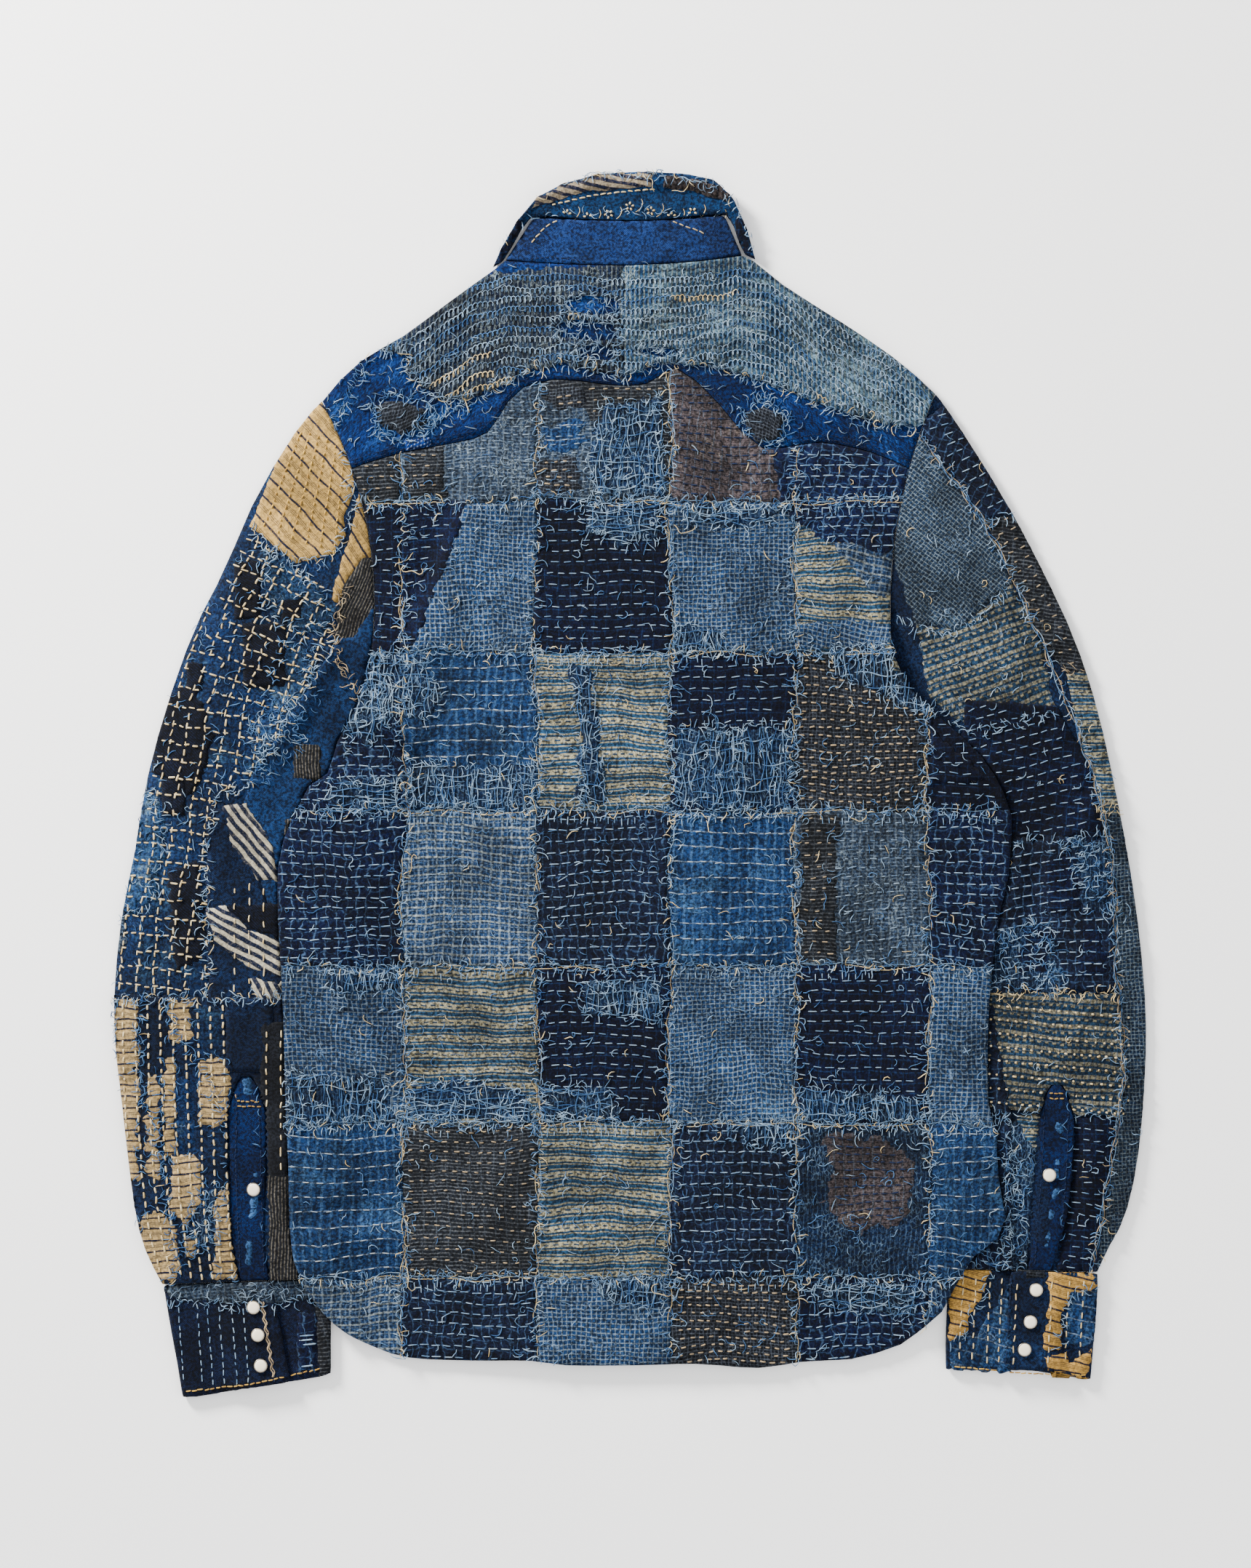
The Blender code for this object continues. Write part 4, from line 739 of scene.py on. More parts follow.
def frayAlong(sheet, colour, line, every=3.0, long=7.0, seed=1):
    # Short curled ends all along a line, to both sides
    draw = random.Random(seed)
    route = np.array(line, float)
    offsets = walkedTo(route)
    at, spacing = draw.uniform(0, every), 1.25 * every
    while at < offsets[-1]:
        x, y = (float(np.interp(at, offsets, route[:, k])) for k in (0, 1))
        k = min(int(np.searchsorted(offsets, at)), len(route) - 1)
        heading = math.atan2(*(route[k] - route[max(k - 1, 0)])[::-1])
        heading += (math.pi / 2) * draw.choice((-1, 1)) + draw.gauss(0, 0.6)
        addStrand(sheet, colour, curl(x, y, heading, long * draw.uniform(0.4, 1.5), draw),
                  draw.uniform(0.3, 1.3), draw.uniform(0.24, 0.44))
        at += spacing * draw.uniform(0.4, 1.7)


def fraysAlong(sheet, line, kinds):
    # Several kinds of fray on one line: colour, spacing, length and seed of each
    for kind in kinds:
        frayAlong(sheet, kind[0], line, *kind[1:])


def curl(x, y, heading, long, draw, step=2.1):
    # A thread end that wanders and bends back on itself
    bend, line = draw.gauss(0, 0.4), [(x, y)]
    for _ in range(max(3, int(long / step))):
        bend = bend * 0.82 + draw.gauss(0, 0.42)
        heading += bend
        x, y = x + math.cos(heading) * step, y + math.sin(heading) * step
        line.append((x, y))
    return line


def tangleIn(sheet, colour, loop, apart=34.0, long=14.0, flat=0.35, seed=3):
    # Broken threads that lie all over an area, mostly along the rows
    draw = random.Random(seed)
    loop = np.array(loop, float)
    low, high = loop.min(0), loop.max(0)
    count = int((high - low).prod() / apart)
    xs = np.array([draw.uniform(low[0], high[0]) for _ in range(count)])
    ys = np.array([draw.uniform(low[1], high[1]) for _ in range(count)])
    keep = insideLoop(loop, xs, ys) & insideLoop(sheet["loop"], xs, ys)
    for x, y in zip(xs[keep], ys[keep]):
        heading = draw.choice((0.0, math.pi)) + draw.gauss(0, flat)
        if draw.random() < 0.25:
            heading += math.pi / 2
        addStrand(sheet, colour, curl(x, y, heading, long * draw.uniform(0.4, 1.4), draw),
                  draw.uniform(0.1, 0.9), draw.uniform(0.22, 0.4))


def netIn(sheet, outline, apart, upright, seed):
    # What is left of torn cloth: wavy threads one way, held by a few across
    draw = random.Random(seed)
    loop = np.array(outline, float)
    low, high = loop.min(0) - 3, loop.max(0) + 3
    for turn, gap in ((upright, apart), (not upright, apart * 3.2)):
        along, across = (1, 0) if turn else (0, 1)
        for start in np.arange(low[across], high[across], gap):
            t = np.arange(low[along], high[along], 2.4)
            wave = draw.uniform(0.5, 1.3) * np.sin(t / draw.uniform(2.6, 5.0) + draw.uniform(0, 6.3))
            line = np.zeros((len(t), 2))
            line[:, along] = t
            sag = 2.0 * softNoise(t, 0 * t, seed + abs(int(start)), 60.0)
            line[:, across] = start + wave + draw.gauss(0, 0.6) + sag
            for run in runsOf(np.flatnonzero(insideLoop(loop, line[:, 0], line[:, 1]))):
                at = 0
                while at + 3 < len(run):
                    count = int(draw.uniform(4, 18))
                    if draw.random() < 0.8:
                        addStrand(sheet, draw.choice(("paleBlue", "midBlue")), line[run[at:at + count]],
                                  draw.uniform(0.1, 0.9), draw.uniform(0.28, 0.5))
                    at += count


# Geometry Nodes trees for what repeats along rows and threads
def treeSocket(tree, name, kind, value=None, inOut="INPUT"):
    item = tree.interface.new_socket(name=name, in_out=inOut, socket_type=kind)
    if value is not None:
        item.default_value = value
    return item


def noted(tree, name, kind):
    return addNode(tree, "GeometryNodeInputNamedAttribute", {"Name": name}, data_type=kind).outputs[0]


def finishTree(tree, geometry, material):
    # Every tree ends in plain smooth faces of one material
    real = addNode(tree, "GeometryNodeRealizeInstances", {0: geometry})
    smooth = addNode(tree, "GeometryNodeSetShadeSmooth", {"Geometry": real.outputs[0]})
    finish = addNode(tree, "GeometryNodeSetMaterial", {"Geometry": smooth.outputs[0], "Material": material})
    addNode(tree, "NodeGroupOutput", {0: finish.outputs[0]})
    return tree


def stitchTree():
    # One arched stitch on each guide point, turned along the row and stretched to its length
    tree = bpy.data.node_groups.new("stitchesOnRows", "GeometryNodeTree")
    treeSocket(tree, "Guide", "NodeSocketGeometry")
    treeSocket(tree, "Thread radius", "NodeSocketFloat", 0.0004)
    treeSocket(tree, "Arch", "NodeSocketFloat", 0.0004)
    treeSocket(tree, "Thread", "NodeSocketMaterial")
    treeSocket(tree, "Stitches", "NodeSocketGeometry", None, "OUTPUT")
    group = addNode(tree, "NodeGroupInput")
    arch = addNode(tree, "ShaderNodeCombineXYZ", {2: group.outputs["Arch"]})
    bow = addNode(tree, "GeometryNodeCurveQuadraticBezier",
                  {"Resolution": 3, "Start": (-0.5, 0, -0.0002), "Middle": arch.outputs[0],
                   "End": (0.5, 0, -0.0002)})
    ring = addNode(tree, "GeometryNodeCurvePrimitiveCircle",
                   {"Resolution": 4, "Radius": group.outputs["Thread radius"]})
    bead = addNode(tree, "GeometryNodeCurveToMesh",
                   {"Curve": bow.outputs[0], "Profile Curve": ring.outputs[0], "Fill Caps": True})
    turn = addNode(tree, "FunctionNodeAlignRotationToVector",
                   {"Vector": noted(tree, "heading", "FLOAT_VECTOR")}, axis="X")
    placed = addNode(tree, "GeometryNodeInstanceOnPoints",
                     {"Points": group.outputs["Guide"], "Instance": bead.outputs[0],
                      "Rotation": turn.outputs[0], "Scale": noted(tree, "stretch", "FLOAT_VECTOR")})
    return finishTree(tree, placed.outputs[0], group.outputs["Thread"])


def strandTree():
    # A thin thread along each guide line
    tree = bpy.data.node_groups.new("threadsOnLines", "GeometryNodeTree")
    treeSocket(tree, "Guide", "NodeSocketGeometry")
    treeSocket(tree, "Sides", "NodeSocketInt", 3)
    treeSocket(tree, "Thread", "NodeSocketMaterial")
    treeSocket(tree, "Threads", "NodeSocketGeometry", None, "OUTPUT")
    group = addNode(tree, "NodeGroupInput")
    line = addNode(tree, "GeometryNodeMeshToCurve", {0: group.outputs["Guide"]})
    ring = addNode(tree, "GeometryNodeCurvePrimitiveCircle",
                   {"Resolution": group.outputs["Sides"], "Radius": 1.0})
    thick = noted(tree, "thick", "FLOAT")
    sized = addNode(tree, "GeometryNodeSetCurveRadius", {"Curve": line.outputs[0], "Radius": thick})
    shape = addNode(tree, "GeometryNodeCurveToMesh",
                    {"Curve": sized.outputs[0], "Profile Curve": ring.outputs[0], "Fill Caps": True})
    scaleSocket = shape.inputs.get("Scale")
    if scaleSocket is not None:
        tree.links.new(thick, scaleSocket)
    return finishTree(tree, shape.outputs[0], group.outputs["Thread"])


stitchNodes, strandNodes = stitchTree(), strandTree()


def runTree(guide, tree, values, name):
    # Evaluates a tree on a guide and keeps only the plain mesh
    live = guide.modifiers.new(tree.name, "NODES")
    live.node_group = tree
    sockets = {item.name: item.identifier for item in tree.interface.items_tree if item.in_out == "INPUT"}
    for key, value in values.items():
        live[sockets[key]] = value
    bpy.context.view_layer.update()
    ready = guide.evaluated_get(bpy.context.evaluated_depsgraph_get())
    mesh = bpy.data.meshes.new_from_object(ready)
    guide.modifiers.remove(live)
    bpy.data.objects.remove(guide, do_unlink=True)
    mesh.name = name
    print(name, "faces", len(mesh.polygons))
    return placeObject(name, mesh)


def guideMesh(name, points, edges, attributes):
    mesh = bpy.data.meshes.new(name)
    mesh.from_pydata(points, edges, [])
    for key, (kind, values) in attributes.items():
        layer = mesh.attributes.new(key, kind, "POINT")
        field = "vector" if kind == "FLOAT_VECTOR" else "value"
        layer.data.foreach_set(field, np.array(values, np.float32).ravel())
    return placeObject(name, mesh)


def makeStitches(sheets, colour, name, radius=0.42, arch=0.55):
    points, headings, stretches = [], [], []
    for sheet in sheets:
        rows = sheet["sewn"].get(colour, [])
        if not rows:
            continue
        ends = np.array([row[0] for row in rows])
        middle = ends.mean(1)
        keep = insideLoop(sheet["loop"], middle[:, 0], middle[:, 1])
        keep &= loopDistance(sheet["loop"], middle[:, 0], middle[:, 1]) > 1.5
        for cover in sheet.get("cover", []):
            keep &= ~insideLoop(cover, middle[:, 0], middle[:, 1])
        flat = ends.reshape(-1, 2)
        z = heightsOn(sheet["top"], flat[:, 0], flat[:, 1]).reshape(-1, 2)
        for k in np.flatnonzero(keep & ~(np.abs(z[:, 1] - z[:, 0]) > 2.0)):      # none over a step
            start, end = (np.array([*ends[k][n], z[k][n]]) * mm for n in (0, 1))
            points.append(tuple((start + end) / 2))
            headings.append(end - start)
            stretches.append((np.linalg.norm(end - start), rows[k][1], rows[k][1]))
    if not points:
        return None
    guide = guideMesh(name + "Guide", points, [], {"heading": ("FLOAT_VECTOR", headings),
                                                   "stretch": ("FLOAT_VECTOR", stretches)})
    values = {"Thread radius": radius * mm, "Arch": arch * mm * 2, "Thread": threads[colour]}
    return runTree(guide, stitchNodes, values, name)


def clipStrands(sheet, rows):
    # Parts of the threads that lie on their own cloth, or hang a little over its edge
    lines = np.vstack([row[0] for row in rows])
    good = insideLoop(spread(sheet["loop"][::4], 2.2), lines[:, 0], lines[:, 1])
    for cover in sheet.get("cover", []):
        good &= ~insideLoop(cover, lines[:, 0], lines[:, 1])
    kept, at = [], 0
    for line, rise, width in rows:
        part = np.flatnonzero(good[at:at + len(line)])
        at += len(line)
        kept += [(line[run], rise, width) for run in runsOf(part) if len(run) > 2]
    return kept


def makeStrands(sheets, colour, name):
    points, edges, thick = [], [], []
    for sheet in sheets:
        rows = sheet["strands"].get(colour, [])
        if not rows:
            continue
        rows = clipStrands(sheet, rows)
        lines = np.vstack([row[0] for row in rows])
        z = heightsOn(sheet["top"], lines[:, 0], lines[:, 1])
        at = 0
        for line, rise, width in rows:
            count = len(line)
            share = np.linspace(0, 1, count)
            hump = np.sin(share * math.pi * (0.85 if rise > 0.2 else 1.0)) * rise + 0.12
            heights = z[at:at + count] + hump
            at += count
            heights = np.minimum(heights, np.median(heights) + 2.5)
            first = len(points)
            points += [(a * mm, b * mm, max(c, 0.3) * mm) for (a, b), c in zip(line, heights)]
            edges += [(first + k, first + k + 1) for k in range(count - 1)]
            taper = np.where((share < 0.02) | (share > 0.98), 0.5, 1.0)
            thick += list(width * mm * taper)
    if not points:
        return None
    guide = guideMesh(name + "Guide", points, edges, {"thick": ("FLOAT", thick)})
    return runTree(guide, strandNodes, {"Sides": 3, "Thread": threads[colour]}, name)


# The back panel
backSettings = {
    "name": "backCloth", "node": "back_panel", "step": 6.5, "fabric": "gauze", "rounds": 14,
    # height, width on the left and on the right of the route, fade at the ends, route
    "creases": [
        (2.2, 26, 6, 24, [(-104, 236), (-112, 198), (-126, 154), (-142, 112), (-144, 76)]),
        (-1.0, 9, 12, 24, [(-118, 226), (-126, 190), (-142, 150), (-158, 112)]),
        (2.4, 30, 6, 24, [(84, 236), (100, 190), (140, 163), (176, 122), (196, 84), (212, 52)]),
        (-1.3, 8, 10, 24, [(98, 236), (114, 198), (152, 168), (188, 124), (206, 90)]),
        (1.3, 8, 14, 20, [(-222, -312), (-180, -308), (-130, -314), (-96, -322)]),
        (-0.8, 7, 9, 20, [(-226, -296), (-184, -290), (-136, -296)]),
        (1.4, 8, 9, 18, [(250, -292), (226, -304), (196, -322)]),
        (1.2, 8, 12, 18, [(-190, 62), (-158, 40), (-128, 30)]),
        (-0.9, 8, 8, 20, [(-196, 44), (-160, 24), (-124, 16)]),
        (0.9, 12, 20, 30, [(-60, 120), (-64, 40), (-60, -40)]),
        (0.9, 14, 16, 30, [(60, 60), (52, -30), (60, -120)]),
        (0.8, 12, 12, 30, [(-150, -120), (-110, -150), (-60, -158)]),
        (0.8, 10, 14, 26, [(120, -150), (150, -200), (168, -260)]),
        (1.0, 8, 10, 18, [(205, 40), (226, 6), (240, -30)]),
        (0.9, 8, 12, 22, [(-205, -80), (-196, -150), (-202, -220)]),
    ],
}


def wavyRows(x, y):
    u = x + 1.8 * softNoise(x, y, 11, 95.0) + 0.5 * softNoise(x, y, 12, 26.0)
    v = y + 2.4 * softNoise(x, y, 13, 120.0) + 0.6 * softNoise(x, y, 14, 30.0)
    return u, v


def fromWavyRows(u, v):
    x, y = np.array(u, float), np.array(v, float)
    for _ in range(3):
        nowU, nowV = wavyRows(x, y)
        x, y = x + u - nowU, y + v - nowV
    return x, y


def puckers(x, y, seed=0):
    return 0.42 + 0.28 * softNoise(x, y, 21, 21.0) + 0.14 * softNoise(x, y, 22, 8.0)


def backPatchRelief(x, y, seed=0):
    _, v = wavyRows(x, y)
    return puckers(x, y) + 0.26 * np.abs(np.sin(v * math.pi / 7.4))


backSettings.update(relief=lambda x, y: 0.0 * x, toWeave=wavyRows, patchRelief=backPatchRelief)

seamX = [-156.0, -64.0, 27.0, 114.0, 205.0]
seamY = [196.0, 92.0, -17.0, -124.0, -232.0, -338.0]
backGrid = [      # cloth of each patch, rows from the yoke to the hem, columns from the left
    ["brownStripe", "greyBlue", "brownStripe", "taupe", "navyNet", "navyNet"],
    ["midnight", "paleCheck", "midnight", "paleCheck", "creamStripe", "gauze"],
    ["navyNet", "wornBlue", "creamStripe", "midnight", "dotPlaid", "midnight"],
    ["navyNet", "wideCheck", "slateNet", "wornBlue", "greyBlue", "navyNet"],
    ["paleCheck", "creamStripe", "midnight", "paleCheck", "midnight", "paleCheck"],
    ["wornBlue", "brownStripe", "creamStripe", "slateNet", "gauze", "wornBlue"],
    ["wideCheck", "slateNet", "paleCheck", "dotPlaid", "navyNet", "gauze"],
]
backScraps = [    # cloth, ragged edge, angle, outline
    ("greyBlue", 1.6, 0, [(-64, 270), (-30, 262), (-22, 240), (24, 236), (24, 198), (-62, 198)]),
    ("gauze", 2.2, 0, [(-20, 262), (22, 268), (24, 200), (-24, 200), (-30, 226)]),
    ("midnight", 1.0, 0, [(-158, 197), (-112, 197), (-122, 160), (-138, 122), (-148, 94), (-158, 92)]),
    ("navyNet", 1.2, -14, [(97, 234), (206, 234), (204, 150), (182, 150), (170, 160), (130, 170),
        (104, 190)]),
    ("wideCheck", 1.0, -12, [(136, 170), (182, 160), (182, 132), (168, 130), (152, 150)]),
    ("dotPlaid", 1.2, 0, [(-64, 226), (-36, 228), (-32, 202), (-62, 200)]),
    ("dotPlaid", 1.2, 0, [(-60, 272), (-34, 276), (-30, 262), (-52, 256)]),
    ("taupe", 1.0, -8, [(29, 276), (46, 262), (62, 240), (72, 212), (66, 198), (30, 198)]),
    ("gauze", 2.6, 0, [(-32, 196), (22, 196), (22, 172), (-2, 166), (-30, 176)]),
    ("gauze", 3.0, 0, [(-174, 92), (-140, 88), (-130, 62), (-138, 46), (-170, 48), (-182, 66)]),
    ("gauze", 2.6, 0, [(29, 40), (112, 42), (112, -14), (74, -16), (32, -14)]),
    ("paleCheck", 1.2, -6, [(112, 112), (150, 116), (180, 112), (180, 95), (112, 93)]),
    ("gauze", 3.0, 0, [(138, 96), (176, 96), (204, 74), (210, 46), (196, 50), (168, 66), (140, 76)]),
    ("gauze", 2.4, 0, [(-30, -134), (20, -130), (22, -164), (-8, -158), (-32, -156)]),
    ("gauze", 2.4, 0, [(-62, -206), (-14, -208), (-6, -230), (-60, -231)]),
    ("gauze", 2.4, 0, [(116, -206), (202, -214), (203, -231), (116, -231)]),
    ("gauze", 2.0, 0, [(-44, 88), (-26, 80), (-20, 30), (-16, -12), (-36, -14), (-34, 40)]),
    ("taupe", 2.6, 0, [(130, -238), (176, -242), (198, -262), (190, -300), (150, -306), (132, -286),
        (140, -264)]),
    ("greyBlue", 2.0, 0, [(150, -16), (202, -18), (203, -60), (160, -56)]),
    ("brownStripe", 1.4, 0, [(116, -18), (144, -18), (142, -120), (116, -122)]),
    ("gauze", 2.2, 0, [(-155, -206), (-108, -200), (-70, -210), (-66, -231), (-154, -231)]),
    ("gauze", 2.2, 0, [(-152, 20), (-110, 12), (-66, 18), (-66, -14), (-152, -16)]),
    ("gauze", 2.6, 0, [(-236, -196), (-170, -200), (-158, -230), (-234, -232)]),
    ("gauze", 2.4, 0, [(-210, -18), (-160, -18), (-158, 8), (-206, 2)]),
    ("midnight", 1.2, 0, [(208, 88), (206, 40), (236, 14), (246, 4), (206, 2)]),
    ("gauze", 2.4, 0, [(30, 92), (70, 92), (60, 108), (34, 112)]),
    ("gauze", 2.2, 0, [(34, 196), (110, 190), (80, 178), (40, 182)]),
    ("gauze", 2.4, 0, [(62, -232), (110, -232), (112, -250), (84, -246)]),
    ("gauze", 2.2, 0, [(-24, -338), (22, -338), (24, -360), (-12, -356)]),
    ("gauze", 2.4, 0, [(120, -342), (200, -342), (196, -366), (130, -358)]),
    ("brownStripe", 1.0, 0, [(-156, 236), (-128, 240), (-126, 198), (-156, 198)]),
    ("gauze", 2.6, 0, [(-200, 90), (-168, 92), (-160, 60), (-176, 30), (-206, 40)]),
    ("creamStripe", 1.2, -6, [(176, 96), (206, 100), (206, 84), (180, 78)]),
    ("gauze", 2.2, 0, [(-208, -126), (-160, -126), (-158, -140), (-206, -142)]),
    ("wornBlue", 1.8, 0, [(-60, 246), (-34, 256), (-28, 232), (-58, 228)]),
]
rowStitches = {   # thread of the running stitches in each cloth, its row spacing, length and gap
    "midnight": ("paleBlue", 7.4, 5.2, 3.2, 0.75), "navyNet": ("paleBlue", 7.4, 6.2, 2.2, 0.85),
    "slateNet": ("paleBlue", 7.4, 5.6, 2.4, 0.8), "dotPlaid": ("tan", 5.2, 3.2, 3.4, 1.25),
    "brownStripe": ("tan", 7.6, 3.0, 5.0, 1.0), "taupe": ("navy", 5.6, 4.2, 2.2, 1.2),
    "wornBlue": ("white", 10.4, 4.2, 5.4, 0.7), "greyBlue": ("greyBlue", 6.2, 4.0, 4.0, 0.9),
}


def seamWave(k, along, vertical):
    return 1.7 * softNoise(along, 0.0 * along, 300 + k + (50 if vertical else 0), 70.0)


def gridPatch(i, j):
    # Outline of one patch between its four wavy seams
    lowX, highX = ([-270.0] + seamX + [280.0])[j:j + 2]
    highY, lowY = ([300.0] + seamY + [-415.0])[i:i + 2]
    ys, xs = np.arange(lowY, highY, 6.0), np.arange(lowX, highX, 6.0)
    left = [(lowX + float(seamWave(j, y, True)), y) for y in ys]
    right = [(highX + float(seamWave(j + 1, y, True)), y) for y in ys]
    bottom = [(x, lowY + float(seamWave(i + 1, x, False))) for x in xs]
    top = [(x, highY + float(seamWave(i, x, False))) for x in xs]
    return bottom[1:] + right[1:] + top[::-1][:-1] + left[::-1][:-1]


def sewPatch(sheet, fabric, loop):
    # The running stitches that cover a patch
    if fabric not in rowStitches or loop is None:
        return
    colour, pitch, length, gap, size = rowStitches[fabric]
    inner = np.array(loop)
    u, v = sheet["toWeave"](inner[:, 0], inner[:, 1])
    for row in np.arange(math.ceil(v.min() / pitch) * pitch, v.max(), pitch):
        us = np.arange(u.min(), u.max(), 5.0)
        x, y = sheet["fromWeave"](us, np.full(len(us), row))
        good = insideLoop(inner, x, y) & (loopDistance(inner, x, y) > 2.0)
        for run in runsOf(np.flatnonzero(good)):
            if len(run) > 2:
                sewRow(sheet, colour, list(zip(x[run], y[run])), length, gap, 0.25, size)


def makeBack():
    sheet = drapeCloth(backSettings)
    sheet["fromWeave"] = fromWavyRows
    laid = []
    for i in range(len(backGrid)):
        for j in range(len(backGrid[0])):
            outline = gridPatch(i, j)
            loop = layPatch(sheet, backGrid[i][j], outline, 0.0, 0.3 + 0.12 * ((i + j) % 3), 0.4)
            laid.append((backGrid[i][j], loop))
    gridCount = len(laid)
    for fabric, rag, angle, outline in backScraps:
        laid.append((fabric, layPatch(sheet, fabric, outline, angle, 0.6, rag)))
    scrapLoops = [loop for _, loop in laid[gridCount:] if loop is not None]
    for fabric, loop in laid[:gridCount]:
        sewPatch(sheet, fabric, loop)
    for colour, rows in sheet["sewn"].items():      # these stop where a scrap covers them
        middle = np.array([row[0].mean(0) for row in rows])
        covered = np.zeros(len(rows), bool)
        for other in scrapLoops:
            covered |= insideLoop(other, middle[:, 0], middle[:, 1])
        sheet["sewn"][colour] = [row for row, gone in zip(rows, covered) if not gone]
    for fabric, loop in laid[gridCount:]:
        sewPatch(sheet, fabric, loop)
    patches = joinPatches(sheet, "backPatches")
    # Whipped and frayed seams between the patches
    for k, x in enumerate(seamX):
        ys = np.arange(-395, 286, 1.6)
        draw = random.Random(k)
        for colour, off, wave in (("cream", -0.9, 5.2), ("paleBlue", 0.8, 6.4), ("tan", 0.0, 4.1)):
            line = [(x + float(seamWave(k + 1, y, True)) + off
                     + 1.3 * math.sin(y / wave + draw.uniform(-0.3, 0.3)),
                     y + 1.1 * math.cos(y / wave * 1.7)) for y in ys]
            for part in np.array_split(np.array(line), 26):
                if draw.random() < (0.5 if colour == "paleBlue" else 0.42):
                    addStrand(sheet, colour, part, 0.12, 0.34)
        line = [(x + float(seamWave(k + 1, y, True)), y) for y in ys]
        fraysAlong(sheet, line, [("cream", 9.0, 7.0, 40 + k), ("paleBlue", 2.6, 7.5, 50 + k),
                                 ("midBlue", 3.4, 8.0, 60 + k)])
    for k, y in enumerate(seamY):
        xs = np.arange(-238, 256, 1.6)
        draw = random.Random(90 + k)
        for colour, off, wave in (("paleBlue", 0.9, 5.6), ("cream", -1.0, 7.4)):
            line = [(x, y + float(seamWave(k + 1, x, False)) + off
                     + 1.0 * math.sin(x / wave + draw.uniform(-0.4, 0.4))) for x in xs]
            for part in np.array_split(np.array(line), 9):
                if draw.random() < (0.9 if colour == "paleBlue" else 0.5):
                    addStrand(sheet, colour, part, 0.12, 0.32)
        line = [(x, y + float(seamWave(k + 1, x, False))) for x in xs]
        fraysAlong(sheet, line, [("paleBlue", 2.2, 6.5, 70 + k), ("midBlue", 3.4, 7.5, 75 + k),
                                 ("cream", 9.0, 6.0, 80 + k)])
        # Short upright bars where the seam allowance shows under the seam
        for x0 in np.arange(-236, 254, 4.6):
            if draw.random() < 0.62:
                top = y - draw.uniform(3.0, 5.0)
                low = (x0 + draw.gauss(0, 0.4), top - draw.uniform(3, 5.5))
                addStitch(sheet, "paleBlue", [(x0, top), low], 0.7)
    # Tangled threads over worn places, denser on the torn scraps
    for k, (fabric, _, _, outline) in enumerate(backScraps):
        if fabric == "gauze":
            netIn(sheet, outline, 2.7, k % 3 != 2, 200 + k)
            tangleIn(sheet, "paleBlue", outline, 60.0, 12.0, seed=230 + k)
            frayAlong(sheet, "paleBlue", resample(outline + outline[:1], 3.0, False), 2.6, 6.0, seed=260 + k)
    whole = [(-245, -400), (262, -400), (262, 90), (190, 230), (-190, 230), (-245, 90)]
    tangleIn(sheet, "paleBlue", whole, 420.0, 9.0, 0.8, seed=400)
    tangleIn(sheet, "midBlue", whole, 420.0, 10.0, 0.8, seed=401)
    tangleIn(sheet, "cream", whole, 2600.0, 9.0, 0.8, seed=402)
    # A few long loose loops
    draw = random.Random(8)
    looseAt = [(-153, 150), (-62, 82), (-64, -20), (27, -20), (30, 180), (-152, -60), (-150, 0), (110, -236),
               (200, -128), (118, -342), (-60, -300), (24, -350), (-158, -330), (60, -238), (150, -20)]
    for x, y in looseAt:
        loose = curl(x, y, draw.uniform(0, 6.3), draw.uniform(14, 28), draw, 2.0)
        addStrand(sheet, "cream", loose, 1.6, 0.34)
    sheet["parts"] = [patches]
    return sheet


# The yoke, under rows of looped thread
yokeTop = [(-222, 252), (-185, 291), (-125, 333), (-88, 352), (-45, 352), (0, 350), (45, 352), (84, 356),
           (146, 319), (180, 296), (222, 258)]
yokeSettings = {
    "name": "yokeCloth", "node": "yoke", "step": 4.0, "fabric": "cobalt", "rounds": 10,
    "creases": [
        (1.2, 9, 24, 20, [(-98, 262), (-106, 240), (-112, 222)]),
        (0.8, 8, 10, 16, [(-180, 248), (-150, 258), (-120, 256)]),
        (0.9, 8, 10, 16, [(60, 286), (100, 262), (150, 248)]),
        (0.7, 10, 14, 20, [(-60, 340), (-20, 322), (30, 330)]),
    ],
}


def yokeLine(x):
    # Height of the upper edge at each place, and how far the thread rows sag there
    route = smoothRoute(yokeTop, 8.0)
    sag = 3.0 * softNoise(x, 0 * x, 31, 90.0) + 0.8 * softNoise(x, 0 * x, 32, 22.0)
    return np.interp(x, route[:, 0], route[:, 1]), sag


def yokeRows(x, y):
    top, sag = yokeLine(x)
    return x * 1.06, (top - y) + sag


def fromYokeRows(u, v):
    x = np.array(u, float) / 1.06
    top, sag = yokeLine(x)
    return x, top + sag - v


def yokePatchRelief(x, y, seed=0):
    _, v = yokeRows(x, y)
    return 0.85 * np.abs(np.cos(v * math.pi / 7.0)) + puckers(x, y)


yokeSettings.update(relief=lambda x, y: 0.3 * softNoise(x, y, 33, 24.0), toWeave=yokeRows,
                    patchRelief=yokePatchRelief)
ribLeft = [(-196, 300), (-172, 301), (-155, 297), (-152, 282), (-130, 266), (-104, 268), (-81, 280),
           (-53, 291), (-30, 287), (-4, 280), (-3, 360), (-110, 352), (-190, 312)]
ribRight = [(-5, 282), (10, 288), (28, 291), (54, 290), (74, 284), (102, 275), (137, 261), (168, 251),
            (200, 247), (226, 262), (150, 330), (84, 366), (-5, 360)]
yokeHoles = {
    "left": [[(-46, 334), (-30, 338), (-10, 336), (-6, 326), (-22, 324), (-44, 327)], [(-52, 318),
        (-36, 321), (-12, 318), (-8, 308), (-26, 306), (-48, 309)], [(-38, 302), (-22, 304), (-10, 300),
        (-14, 293), (-34, 294)], ],
    "right": [[(2, 300), (22, 303), (34, 299), (20, 295)], ],
}


